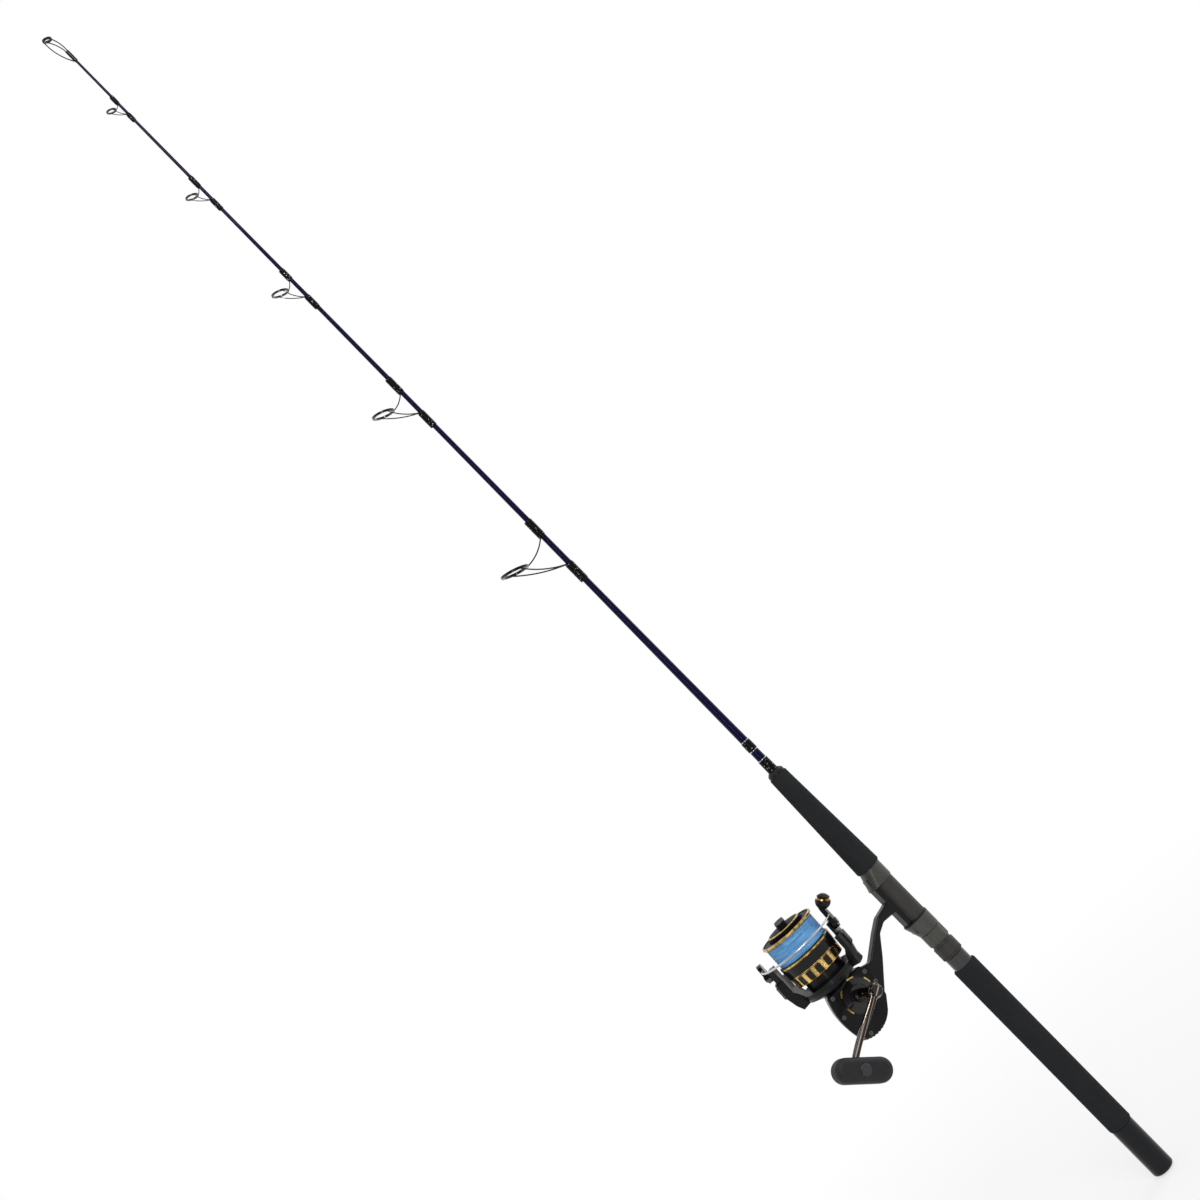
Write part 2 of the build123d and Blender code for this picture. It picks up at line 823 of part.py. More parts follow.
# Tip-top: a tube on the blank's end, two wires to the ring's sides and one brace below it
tip_tube_low = tip_end - tip_tube_length + tip_tube_floor
tip_ring_z = tip_tube_low + tip_tube_length + tip_ring_reach
tip_plane = ring_plane(tip_ring_height, tip_ring_z, tip_lean)
with BuildPart() as tip_frame:
    tip_bore = blank_radius(tip_tube_low) + glue_gap
    tip_outer = tip_bore + tip_tube_wall
    tip_tube_high = tip_end + glue_gap + tip_tube_floor
    ring(Plane.XZ, Axis.Z, 0, tip_outer, tip_tube_low, tip_tube_high)
    hoop_inner = hoop_radius(tip_ring_radius, tip_wire)
    hoop_middle = (tip_ring_radius + hoop_inner) / 2
    for hand in (1, -1):
        start = Vector(0, hand * tip_outer, tip_tube_high - 2 * tip_wire)
        wire_leg(start, tip_plane.from_local_coords((hand * hoop_middle, 0, 0)), tip_wire, Vector(1, 0, 0))
    brace_end = tip_plane.from_local_coords((0, hoop_middle, 0))
    wire_leg(Vector(-tip_outer, 0, tip_tube_low + 2 * tip_wire), brace_end, tip_wire, Vector(-1, 0, 0))
    with BuildSketch(tip_plane):
        Circle(tip_ring_radius)
    extrude(amount=hoop_depth * tip_wire, both=True)
    with BuildSketch(tip_plane):
        Circle(hoop_inner)
    extrude(amount=2 * tip_ring_radius, both=True, mode=Mode.SUBTRACT)
    ring(Plane.XZ, Axis.Z, 0, tip_bore, tip_tube_low, tip_end + glue_gap, mode=Mode.SUBTRACT)
finish(tip_frame.part, "tip_frame")

# Hard ring inserts of the five guides and the tip-top
with BuildPart() as guide_rings:
    for guide in guides:
        ring_insert(ring_plane(guide.height, guide.ring_z, guide.lean), guide.ring_radius, guide.wire)
    ring_insert(tip_plane, tip_ring_radius, tip_wire)
finish(guide_rings.part, "guide_rings")

# Body outlines at the cover and at the far side, seen from the handle's side; the belly slopes in
spine = [(heel_x, heel_z), (back_x, back_z), (shoulder_x, shoulder_z), (brow_x, body_front)]
with BuildSketch() as body_outline:
    with BuildLine():
        ThreePointArc((body_corner_x, body_front), (-body_belly, belly_z), (-body_sole, sole_z))
        rear_arc = ThreePointArc((-body_sole, sole_z), (rear_x, -body_rear), (heel_x, heel_z))
        Polyline(*spine, (body_corner_x, body_front))
    make_face()
    fillet(body_outline.vertices(), body_corner)
with BuildSketch() as far_outline:
    with BuildLine():
        ThreePointArc((far_corner_x, body_front), (-far_belly, belly_z), (-far_sole, far_sole_z))
        ThreePointArc((-far_sole, far_sole_z), (far_rear_x, -far_rear), (heel_x, heel_z))
        Polyline(*spine, (far_corner_x, body_front))
    make_face()
    fillet(far_outline.vertices(), body_corner)
across = Axis(side.origin, side.z_dir)
cover_face = body_near + cover_thickness
boss_face = cover_face + boss_height
cam_distance = (small_teeth + cam_teeth) * cam_module / 2
cam_x = gear_offset
cam_z = -cam_distance
floor_w = body_wall - body_far
bearing_w = boss_face - boss_lip - axle_bearing_width

# Reel body: stem and foot, housing with one open side, front collar, bosses and screw posts
with BuildPart() as reel_body:
    stem_top = reel_drop - tube_radius - foot_thickness / 2
    with BuildSketch(side.offset(-stem_half)) as stem:
        with BuildLine():
            Polyline(*stem_front, (stem_top, stem_top_front), (stem_top, stem_top_rear), *stem_rear,
                     close=True)
        make_face()
        inner_corners = stem.vertices().filter_by_position(Axis.X, stem_front[1][0], stem_rear[0][0])
        fillet(inner_corners, stem_corner)
    extrude(amount=2 * stem_half)
    stem_faces = reel_body.edges().group_by(across)
    fillet(stem_faces[0] + stem_faces[-1], stem_round)
    with BuildSketch(Plane.XZ):
        with BuildLine():
            Polyline(*foot_points, close=True)
        make_face()
    extrude(amount=foot_half, both=True)
    ring(Plane.XZ, Axis.Z, 0, tube_radius + glue_gap, foot_low, foot_high, mode=Mode.SUBTRACT)
    with BuildSketch(side.offset(-body_far)):
        add(far_outline.sketch)
    with BuildSketch(side.offset(body_near)):
        add(body_outline.sketch)
    loft(ruled=True)
    fillet(reel_body.edges().group_by(across)[0], body_round)
    with BuildSketch(side.offset(floor_w)):
        add(far_outline.sketch)
        offset(amount=-body_wall, mode=Mode.REPLACE)
    with BuildSketch(side.offset(body_near)):
        add(body_outline.sketch)
        offset(amount=-body_wall, mode=Mode.REPLACE)
    loft(ruled=True, mode=Mode.SUBTRACT)
    ring(side, reel_axis, 0, collar_radius, collar_inner_end, collar_end)
    ring(side, reel_axis, 0, collar_bore, collar_inner_end, bearing_seat, mode=Mode.SUBTRACT)
    clutch_seat = clutch_start - clear_gap
    ring(side, reel_axis, 0, bearing_radius + glue_gap, bearing_seat, clutch_seat, mode=Mode.SUBTRACT)
    ring(side, reel_axis, 0, clutch_radius + glue_gap, clutch_seat, collar_end, mode=Mode.SUBTRACT)
    boss_top = floor_w + axle_bearing_width
    ring(crank_half, crank_axis, axle_bearing_radius + glue_gap, axle_bearing_radius + axle_boss_wall,
         floor_w - body_wall / 2, boss_top)
    with BuildSketch(side.offset(floor_w - body_wall / 2)):
        with Locations((cam_x, cam_z)):
            Circle(2 * cam_post_radius)
    extrude(amount=body_far - cam_far - clear_gap - body_wall / 2)
    with BuildSketch(side.offset(floor_w)):
        with Locations((cam_x, cam_z)):
            Circle(cam_post_radius)
    extrude(amount=body_far - body_wall - cam_far + cam_thickness)
    post_low = body_near - screw_length + cover_thickness - screw_head_height - glue_gap
    with BuildSketch(side.offset(post_low - screw_radius)):
        with Locations(screw_places):
            Circle(screw_post_radius)
    extrude(amount=body_near - post_low + screw_radius)
    with BuildSketch(side.offset(post_low - glue_gap)):
        with Locations(screw_places):
            Circle(screw_radius + glue_gap)
    extrude(amount=screw_length, mode=Mode.SUBTRACT)
    lug_half = guide_rod_radius + lug_wall
    with BuildSketch(side.offset(floor_w - body_wall / 2)):
        with Locations((guide_rod_x, guide_rod_front - lug_length / 2)):
            Rectangle(2 * lug_half, lug_length)
    extrude(amount=lug_half + guide_rod_w - floor_w + body_wall / 2)
    with BuildSketch(reel.offset(guide_rod_front - lug_length)):
        with Locations((guide_rod_x, -guide_rod_w)):
            Circle(guide_rod_radius + glue_gap)
    extrude(amount=lug_length, mode=Mode.SUBTRACT)
finish(reel_body.part, "reel_body")

# Side cover with the handle's boss
with BuildPart() as side_cover:
    with BuildSketch(side.offset(body_near + glue_gap)):
        add(body_outline.sketch)
    extrude(amount=cover_thickness - glue_gap)
    fillet(side_cover.edges().group_by(across)[-1], cover_round)
    turn(crank_half, crank_axis, (0, body_near + cover_thickness / 2),
         (boss_base_radius, body_near + cover_thickness / 2), (boss_base_radius, cover_face + boss_step),
         (boss_radius, boss_face - boss_step), (boss_radius - boss_step, boss_face), (0, boss_face))
    ring(crank_half, crank_axis, 0, axle_bearing_radius + glue_gap, body_near, boss_face - boss_lip,
         mode=Mode.SUBTRACT)
    ring(crank_half, crank_axis, 0, axle_radius + 2 * clear_gap, body_near, boss_face, mode=Mode.SUBTRACT)
    ring(crank_half, crank_axis, boss_ring_radius - boss_ring_width - glue_gap, boss_ring_radius + glue_gap,
         cover_face - boss_ring_height / 2, cover_face, mode=Mode.SUBTRACT)
    with BuildSketch(side.offset(body_near)):
        with Locations(screw_places):
            Circle(screw_radius + glue_gap)
    extrude(amount=cover_thickness, mode=Mode.SUBTRACT)
    with BuildSketch(side.offset(cover_face - screw_head_height)):
        with Locations(screw_places):
            Circle(screw_head_radius + glue_gap)
    extrude(amount=screw_head_height, mode=Mode.SUBTRACT)
finish(side_cover.part, "side_cover")

# Five cover screws with cross recesses
with BuildPart() as cover_screws:
    head_w = cover_face - screw_head_height + glue_gap
    for place in screw_places:
        with BuildSketch(side.offset(head_w)):
            with Locations(place):
                Circle(screw_head_radius)
        extrude(amount=screw_head_height)
        with BuildSketch(side.offset(head_w)):
            with Locations(place):
                Circle(screw_radius)
        extrude(amount=-screw_length + screw_head_height)
        with BuildSketch(side.offset(head_w + screw_head_height / 2)):
            with Locations(place):
                Rectangle(screw_slot_length, screw_slot_width)
                Rectangle(screw_slot_width, screw_slot_length)
        extrude(amount=screw_head_height, mode=Mode.SUBTRACT)
finish(cover_screws.part, "cover_screws")

# Gold ring set into the cover round the boss
with BuildPart() as boss_ring:
    ring(crank_half, crank_axis, boss_ring_radius - boss_ring_width, boss_ring_radius,
         cover_face - boss_ring_height / 2 + glue_gap, cover_face + boss_ring_height / 2)
finish(boss_ring.part, "boss_ring")

# Rear guard: a scalloped shell over the body's heel
with BuildPart() as rear_guard:
    with BuildSketch(side.offset(-guard_half)):
        add(body_outline.sketch)
        offset(amount=guard_thickness, mode=Mode.REPLACE)
        offset(body_outline.sketch, amount=glue_gap, mode=Mode.SUBTRACT)
        with Locations((0, guard_start)):
            Rectangle(4 * body_belly, 4 * body_rear, align=(Align.CENTER, Align.MIN), mode=Mode.SUBTRACT)
        with Locations((guard_edge, guard_start)):
            Rectangle(2 * body_belly, 4 * body_rear, align=(Align.MAX, Align.CENTER), mode=Mode.SUBTRACT)
        with Locations(rear_arc.arc_center):
            with PolarLocations(rear_arc.radius + guard_thickness + scallop_radius / 2, guard_scallops,
                                start_angle=scallop_start, angular_range=scallop_range):
                Circle(scallop_radius, mode=Mode.SUBTRACT)
    extrude(amount=2 * guard_half)
finish(rear_guard.part, "rear_guard")

# Drive gear: a face gear on a hollow axle, with the small oscillation gear at its far end
gear_reach = gear_teeth / pinion_teeth * pinion_pitch_radius
tooth_tip_w = pinion_pitch_radius - tooth_half_depth
gear_face_w = pinion_pitch_radius + tooth_half_depth + tooth_root_gap
gear_radius = hypot(gear_offset, gear_reach + gear_face / 2)
gear_back_w = gear_face_w + gear_thickness
small_radius = small_teeth * cam_module / 2
cam_radius = cam_teeth * cam_module / 2
cam_root_gap = cam_addendum + clear_gap
with BuildPart() as drive_gear:
    ring(crank_half, crank_axis, axle_bore, gear_radius, gear_face_w, gear_back_w)
    ring(crank_half, crank_axis, axle_bore, gear_hub_radius, gear_face_w, bearing_w - clear_gap)
    ring(crank_half, crank_axis, axle_bore, axle_radius, -axle_far_end, axle_end)
    with BuildSketch(crank.offset(tooth_tip_w)):
        with PolarLocations(0, gear_teeth):
            with Locations((-gear_offset, gear_reach)):
                Rectangle(tooth_width, gear_face)
    extrude(amount=gear_face_w - tooth_tip_w + tooth_root_gap)
    with BuildSketch(crank.offset(-cam_far)):
        Circle(small_radius - cam_root_gap)
        with PolarLocations(small_radius - cam_root_gap / 2, small_teeth, start_angle=-90):
            Rectangle(cam_root_gap + 2 * cam_addendum, cam_tooth_width)
        Circle(axle_bore, mode=Mode.SUBTRACT)
    extrude(amount=cam_thickness)
finish(drive_gear.part, "drive_gear")

# Pinion: teeth at the rear, a journal through the collar and a thread for the rotor nut
rotor_seat = cup_top + rotor_boss_depth
with BuildPart() as pinion:
    pinion_root = pinion_pitch_radius - tooth_half_depth - tooth_root_gap
    pinion_tip = pinion_pitch_radius + tooth_half_depth
    with BuildSketch(reel.offset(pinion_rear)):
        Circle(pinion_root)
        with PolarLocations(pinion_tip / 2, pinion_teeth, start_angle=-90 + half_turn / pinion_teeth):
            Rectangle(pinion_tip, tooth_width)
    extrude(amount=pinion_neck - pinion_rear)
    ring(side, reel_axis, 0, pinion_journal, pinion_neck, rotor_seat)
    ring(side, reel_axis, 0, pinion_thread, rotor_seat, pinion_end)
    ring(side, reel_axis, 0, shaft_radius + running_gap, pinion_rear, pinion_end, mode=Mode.SUBTRACT)
finish(pinion.part, "pinion")

# Bearings: two for the axle and one for the pinion
with BuildPart() as bearings:
    ring(crank_half, crank_axis, axle_radius + running_gap, axle_bearing_radius, bearing_w,
         boss_face - boss_lip - glue_gap)
    ring(crank_half, crank_axis, axle_radius + running_gap, axle_bearing_radius, floor_w + glue_gap, boss_top)
    ring(side, reel_axis, pinion_journal + running_gap, bearing_radius, bearing_seat + glue_gap,
         bearing_seat + bearing_width)
finish(bearings.part, "bearings")

# One-way roller clutch in the collar
with BuildPart() as roller_clutch:
    ring(side, reel_axis, pinion_journal + running_gap, clutch_radius, clutch_start, clutch_end)
finish(roller_clutch.part, "roller_clutch")

# Cam gear on its post
with BuildPart() as cam_gear:
    with BuildSketch(side.offset(-cam_far)):
        with Locations((cam_x, cam_z)):
            Circle(cam_radius - cam_root_gap)
            cam_start = 90 + half_turn / cam_teeth
            with PolarLocations(cam_radius - cam_root_gap / 2, cam_teeth, start_angle=cam_start):
                Rectangle(cam_root_gap + 2 * cam_addendum, cam_tooth_width)
            Circle(cam_post_radius + running_gap, mode=Mode.SUBTRACT)
    extrude(amount=cam_thickness)
    with BuildSketch(side.offset(-cam_far)):
        with Locations((cam_x + spool_travel, cam_z)):
            Circle(cam_pin_radius)
    extrude(amount=cam_far - slider_far - clear_gap)
finish(cam_gear.part, "cam_gear")

# Slider: clamped to the shaft, with a slot across it for the cam's pin
with BuildPart() as slider:
    slot_reach = cam_x + spool_travel + slot_margin
    with BuildSketch(side.offset(-slider_far)):
        with Locations(((slot_reach + slot_margin - slider_wing) / 2, cam_z)):
            Rectangle(slot_reach + slot_margin + slider_wing, slider_length)
    extrude(amount=slider_far + slider_near)
    with BuildSketch(side.offset(-slider_far)):
        with Locations((cam_x, cam_z)):
            SlotOverall(2 * (spool_travel + slot_margin), slot_width)
    extrude(amount=slot_depth, mode=Mode.SUBTRACT)
    with BuildSketch(reel.offset(cam_z - slider_length)):
        Circle(shaft_radius + glue_gap)
        with Locations((guide_rod_x, -guide_rod_w)):
            Circle(guide_rod_radius + running_gap)
    extrude(amount=2 * slider_length, mode=Mode.SUBTRACT)
finish(slider.part, "slider")

# Rod that keeps the slider from turning
with BuildPart() as guide_rod:
    with BuildSketch(reel.offset(guide_rod_rear)):
        with Locations((guide_rod_x, -guide_rod_w)):
            Circle(guide_rod_radius)
    extrude(amount=guide_rod_front - guide_rod_rear)
finish(guide_rod.part, "guide_rod")

# Main shaft
with BuildPart() as main_shaft:
    ring(side, reel_axis, 0, shaft_radius, cam_z - slider_length / 2, shaft_front)
finish(main_shaft.part, "main_shaft")

# Rotor: a dish and cup round the collar, with two arms outside the spool's skirt
with BuildPart() as rotor:
    cup_inner = cup_radius - cup_wall
    rotor_bore = pinion_journal + glue_gap
    turn(side, reel_axis, (rotor_mouth, rotor_rim), (rotor_chin, rotor_rim),
         (dish_radius - dish_wall, dish_edge - 2 * dish_drop), (dish_radius, dish_edge - dish_drop),
         (dish_radius, dish_edge), (dish_radius - dish_wall, dish_edge), (cup_radius + dish_drop, dish_floor),
         (cup_radius, dish_floor), (cup_radius, cup_top), (rotor_boss_radius, cup_top),
         (rotor_boss_radius, rotor_seat), (rotor_bore, rotor_seat), (rotor_bore, cup_top - plate_thickness),
         (cup_inner, cup_top - plate_thickness), (cup_inner, dish_floor - dish_wall),
         (rotor_mouth, rotor_rim + dish_wall))
    for start, outer in ((0, lever_arm_outer), (half_turn, arm_outer)):
        turn(arm_plane(start - arm_foot_half_angle), reel_axis, (arm_root, arm_root_z),
             (arm_heel, arm_heel_z), (outer - arm_step, dish_edge - dish_wall), (outer, arm_knee_z),
             (outer, arm_step_z), (arm_inner, arm_step_z), (arm_inner, arm_knee_z),
             (arm_throat, arm_throat_z), (arm_root, dish_edge - dish_drop), arc=2 * arm_foot_half_angle)
        turn(arm_plane(start - arm_half_angle), reel_axis, (arm_inner, arm_knee_z), (outer, arm_knee_z),
             (outer, arm_step_z), (outer - arm_step, arm_step_z + arm_step / 2),
             (outer - arm_step, arm_top), (arm_inner, arm_top), arc=2 * arm_half_angle)
    for plane in (bail_plane(arm_inner - arm_step), bail_plane(-arm_outer)):
        with BuildSketch(plane):
            with Locations((0, bail_z)):
                Circle(pivot_radius + glue_gap)
        extrude(amount=arm_outer - arm_inner + arm_step, mode=Mode.SUBTRACT)
finish(rotor.part, "rotor")

# Rotor nut
with BuildPart() as rotor_nut:
    with BuildSketch(reel.offset(rotor_seat + glue_gap)):
        RegularPolygon(rotor_nut_radius, 6)
        Circle(pinion_thread + glue_gap, mode=Mode.SUBTRACT)
    extrude(amount=pinion_end - rotor_seat - glue_gap)
finish(rotor_nut.part, "rotor_nut")

# Covers on the outside of the two arms
with BuildPart() as arm_covers:
    for start, outer in ((0, lever_arm_outer), (half_turn, arm_outer)):
        cover_inner = outer + glue_gap
        turn(arm_plane(start - arm_cover_half_angle), reel_axis, (cover_inner, arm_cover_start),
             (cover_inner + arm_cover_thickness, arm_cover_start + arm_cover_thickness),
             (cover_inner + arm_cover_thickness, arm_cover_end - arm_cover_thickness),
             (cover_inner, arm_cover_end), arc=2 * arm_cover_half_angle)
finish(arm_covers.part, "arm_covers")

# Line roller's place: a ball at the end of the bail lever, its axle leaning forward and outward
lever_outer = lever_inner + bail_plate_thickness
holder_outer = holder_inner + bail_plate_thickness
ball_centre = rotor_frame.from_local_coords((ball_x, 0, ball_z))
roller_dir = (rotor_frame.x_dir + rotor_frame.z_dir).normalized()
roller_frame = Plane(origin=ball_centre, x_dir=rotor_frame.y_dir, z_dir=roller_dir)
roller_half = Plane(origin=ball_centre, x_dir=roller_frame.x_dir, z_dir=-roller_frame.y_dir)
roller_axis = Axis(ball_centre, roller_dir)
roller_low = ball_flat + roller_side_gap
roller_high = roller_low + roller_width

# Bail lever with the ball
with BuildPart() as bail_lever:
    with BuildSketch(bail_plane(lever_inner)):
        with Locations((0, bail_z)):
            Circle(bail_boss_radius)
        with Locations((0, bail_neck_z)):
            Circle(bail_neck_radius)
        make_hull()
    extrude(amount=bail_plate_thickness)
    with Locations(ball_centre):
        Sphere(ball_radius)
    ring(roller_half, roller_axis, 0, 2 * ball_radius, ball_flat, 2 * ball_radius, mode=Mode.SUBTRACT)
    ring(roller_half, roller_axis, 0, roller_pin_radius + glue_gap, -ball_flat - glue_gap, ball_flat,
         mode=Mode.SUBTRACT)
    with BuildSketch(bail_plane(lever_inner)):
        with Locations((0, bail_z)):
            Circle(pivot_radius + running_gap)
    extrude(amount=bail_plate_thickness, mode=Mode.SUBTRACT)
finish(bail_lever.part, "bail_lever")

# Line roller, grooved, on its pin
with BuildPart() as line_roller:
    roller_middle = (roller_low + roller_high) / 2
    turn(roller_half, roller_axis, (roller_pin_radius + running_gap, roller_low), (roller_radius, roller_low),
         (roller_radius - roller_groove, roller_middle), (roller_radius, roller_high),
         (roller_pin_radius + running_gap, roller_high))
finish(line_roller.part, "line_roller")

with BuildPart() as roller_pin:
    cap_low = roller_high + roller_side_gap
    cap_high = cap_low + roller_cap_height
    turn(roller_half, roller_axis, (0, -ball_flat), (roller_pin_radius, -ball_flat),
         (roller_pin_radius, cap_low), (roller_cap_radius, cap_low),
         (roller_cap_radius, cap_low + roller_cap_edge), (roller_cap_radius / 2, cap_high), (0, cap_high))
finish(roller_pin.part, "roller_pin")

# Bail holder on the other arm
with BuildPart() as bail_holder:
    with BuildSketch(bail_plane(-holder_outer)):
        with Locations((0, bail_z)):
            Circle(holder_boss_radius)
        with Locations((0, holder_tip_z)):
            Circle(holder_tip_radius)
        make_hull()
    extrude(amount=bail_plate_thickness)
    with BuildSketch(bail_plane(-holder_outer)):
        with Locations((0, bail_z)):
            Circle(pivot_radius + running_gap)
    extrude(amount=bail_plate_thickness, mode=Mode.SUBTRACT)
finish(bail_holder.part, "bail_holder")


def plate_half_width(boss, tip, tip_z):
    """Half width of a bail plate at the wire's height, between its two rounded ends."""
    slant = asin((boss - tip) / (tip_z - bail_z))
    return (boss - (wire_z - bail_z) * sin(slant)) / cos(slant)


# Bail wire: a half ring on the handle's side of the spool
with BuildPart() as bail_wire:
    lever_half = plate_half_width(bail_boss_radius, bail_neck_radius, bail_neck_z)
    holder_half = plate_half_width(holder_boss_radius, holder_tip_radius, holder_tip_z)
    lever_x = lever_outer - wire_radius
    holder_x = -(holder_inner + holder_outer) / 2
    wire_points = [
        rotor_frame.from_local_coords((x, -y, wire_z))
        for x, y in ((lever_x, lever_half + wire_end_gap), ((lever_x + holder_x) / 2, wire_reach),
                     (holder_x, holder_half + wire_end_gap))
    ]
    with BuildLine() as wire_path:
        ThreePointArc(*wire_points)
    with BuildSketch(Plane(origin=wire_path.line @ 0, z_dir=wire_path.line % 0)):
        Circle(wire_radius)
    sweep(path=wire_path.line)
finish(bail_wire.part, "bail_wire")

# Pivot screws of the bail
with BuildPart() as bail_pivots:
    for hand, plate_outer in ((1, lever_outer), (-1, holder_outer)):
        with BuildSketch(bail_plane(hand * (plate_outer + clear_gap))):
            with Locations((0, bail_z)):
                Circle(pivot_radius)
        extrude(amount=-hand * pivot_length)
        with BuildSketch(bail_plane(hand * (plate_outer + clear_gap))):
            with Locations((0, bail_z)):
                Circle(pivot_head_radius)
        extrude(amount=hand * pivot_head_height)
finish(bail_pivots.part, "bail_pivots")


def skirt_radius(z):
    """Outer radius of the spool's tapered skirt."""
    rise = (z - skirt_bottom) / (flange_z - skirt_bottom)
    return skirt_bottom_radius + (spool_radius - skirt_bottom_radius) * rise


# Spool: skirt, rear flange, hollow arbor, drag chamber and hub
ring_top = skirt_bottom + skirt_ring_height
ring_room = skirt_ring_wall + glue_gap
chamber_radius = arbor_radius - skirt_wall
recess_floor = lip_z + skirt_wall
with BuildPart() as spool:
    skirt_inner = skirt_radius(skirt_bottom) - ring_room
    web_under = web_top - skirt_wall
    front_face = lip_z + lip_height - lip_proud
    spool_bore = shaft_radius + running_gap
    turn(side, reel_axis, (skirt_inner - skirt_wall, skirt_bottom), (skirt_inner, skirt_bottom),
         (skirt_radius(ring_top) - ring_room, ring_top), (skirt_radius(ring_top), ring_top),
         (spool_radius, flange_z), (spool_radius, flange_top - skirt_wall),
         (spool_radius - skirt_wall, flange_top), (arbor_radius, flange_top), (arbor_radius, lip_z),
         (lip_core_radius, lip_z), (lip_core_radius, front_face), (knob_recess_radius, front_face),
         (knob_recess_radius, recess_floor), (chamber_radius, recess_floor), (chamber_radius, web_top),
         (spool_bore, web_top), (spool_bore, web_bottom), (hub_radius, web_bottom),
         (hub_radius, web_under), (chamber_radius, web_under), (chamber_radius, flange_z),
         (spool_radius - ring_room - skirt_wall, flange_z - skirt_wall))
finish(spool.part, "spool")

# Gold lip round the spool's front edge
with BuildPart() as spool_lip:
    lip_top = lip_z + lip_height
    turn(side, reel_axis, (lip_core_radius + glue_gap, lip_z), (spool_radius - lip_proud, lip_z),
         (spool_radius, lip_z + lip_proud), (spool_radius, lip_top - lip_proud),
         (spool_radius - lip_proud, lip_top), (lip_core_radius + glue_gap, lip_top))
finish(spool_lip.part, "spool_lip")

# Gold window ring round the skirt's rear end
with BuildPart() as skirt_ring:
    low_radius = skirt_radius(skirt_bottom)
    high_radius = skirt_radius(ring_top)
    turn(side, reel_axis, (low_radius - skirt_ring_wall, skirt_bottom), (low_radius, skirt_bottom),
         (high_radius, ring_top - glue_gap), (high_radius - skirt_ring_wall, ring_top - glue_gap))
    window_width = window_share * 2 * pi * low_radius / window_count
    with BuildSketch(reel.offset((skirt_bottom + ring_top - window_height) / 2)):
        with PolarLocations(low_radius, window_count):
            Rectangle(4 * skirt_ring_wall, window_width)
    extrude(amount=window_height, mode=Mode.SUBTRACT)
finish(skirt_ring.part, "skirt_ring")

# Line on the spool: a plain core of the inner layers
line_core_radius = arbor_radius + line_depth
with BuildPart() as line_core:
    ring(side, reel_axis, arbor_radius + glue_gap, line_core_radius, flange_top + glue_gap, lip_z - glue_gap)
finish(line_core.part, "line_core")

# Outer layer of line: one unbroken helix whose ends stand square to the flange and the lip
coil_radius = line_core_radius + glue_gap + line_radius
line_start = flange_top + glue_gap
line_stop = lip_z - glue_gap
coil_low = line_start + 2 * line_radius + line_bend_radius
coil_high = line_stop - 2 * line_radius - line_bend_radius
coil_rise = (coil_high - coil_low) / line_turns


def coil_spot(half_turns):
    """Point and direction of the helix after a number of half turns."""
    angle = pi * half_turns
    spot = Vector(coil_radius * cos(angle), coil_radius * sin(angle), coil_low + coil_rise * half_turns / 2)
    step = Vector(-coil_radius * sin(angle), coil_radius * cos(angle), coil_rise / (2 * pi))
    start = reel.from_local_coords(spot)
    return start, (reel.from_local_coords(spot + step) - start).normalized()


def biarc(p0, t0, p1, t1):
    """Two arcs that leave p0 along t0, join smoothly and reach p1 along t1."""
    gap = p1 - p0
    both = t0 + t1
    lean = 2 * (1 - t0.dot(t1))
    reach = (sqrt(gap.dot(both) ** 2 + lean * gap.dot(gap)) - gap.dot(both)) / lean
    joint = (p0 + p1 + (t0 - t1) * reach) / 2
    TangentArc(p0, joint, tangent=t0)
    TangentArc(joint, p1, tangent=gap - both * reach)


with BuildPart() as line_winding:
    spots = [coil_spot(i) for i in range(2 * line_turns + 1)]
    straight = reel.z_dir * (2 * line_radius)
    bend = reel.z_dir * line_bend_radius
    first_spot, first_way = spots[0]
    last_spot, last_way = spots[-1]
    rise_end = first_spot - bend - first_way * line_bend_radius
    fall_start = last_spot + bend + last_way * line_bend_radius
    with BuildLine() as line_path:
        Line(rise_end - straight, rise_end)
        biarc(rise_end, reel.z_dir, first_spot, first_way)
        for (p0, t0), (p1, t1) in zip(spots, spots[1:]):
            biarc(p0, t0, p1, t1)
        biarc(last_spot, last_way, fall_start, reel.z_dir)
        Line(fall_start, fall_start + straight)
    line_wire = line_path.wires()[0]
    # a round section would take 16 times the triangles, so the thin line has flat sides
    with BuildSketch(Plane(origin=line_wire @ 0, z_dir=line_wire % 0)):
        RegularPolygon(line_radius, line_sides)
    sweep(path=line_wire)
finish(line_winding.part, "line_winding")

# Least gap between neighbouring turns, measured on points along the line
samples = [tuple(line_wire.position_at(i / line_samples)) for i in range(line_samples + 1)]
skip = line_samples // (2 * line_turns)
least = min(
    dist(samples[i], samples[j])
    for i in range(len(samples))
    for j in range(i + skip, min(i + 3 * skip, len(samples)))
)
print(f"line: least gap between turns {least - 2 * line_radius:.3f} mm")

# Drag stack: friction discs turn with the spool, metal washers with the shaft
drag_pitch = washer_thickness + disc_thickness + 2 * drag_step
with BuildPart() as drag_discs:
    for i in range(washer_count):
        low = web_top + drag_step + i * drag_pitch
        ring(side, reel_axis, disc_bore, washer_radius, low, low + disc_thickness)
finish(drag_discs.part, "drag_discs")

with BuildPart() as drag_washers:
    for i in range(washer_count):
        low = web_top + 2 * drag_step + disc_thickness + i * drag_pitch
        ring(side, reel_axis, shaft_radius + glue_gap, washer_radius, low, low + washer_thickness)
finish(drag_washers.part, "drag_washers")

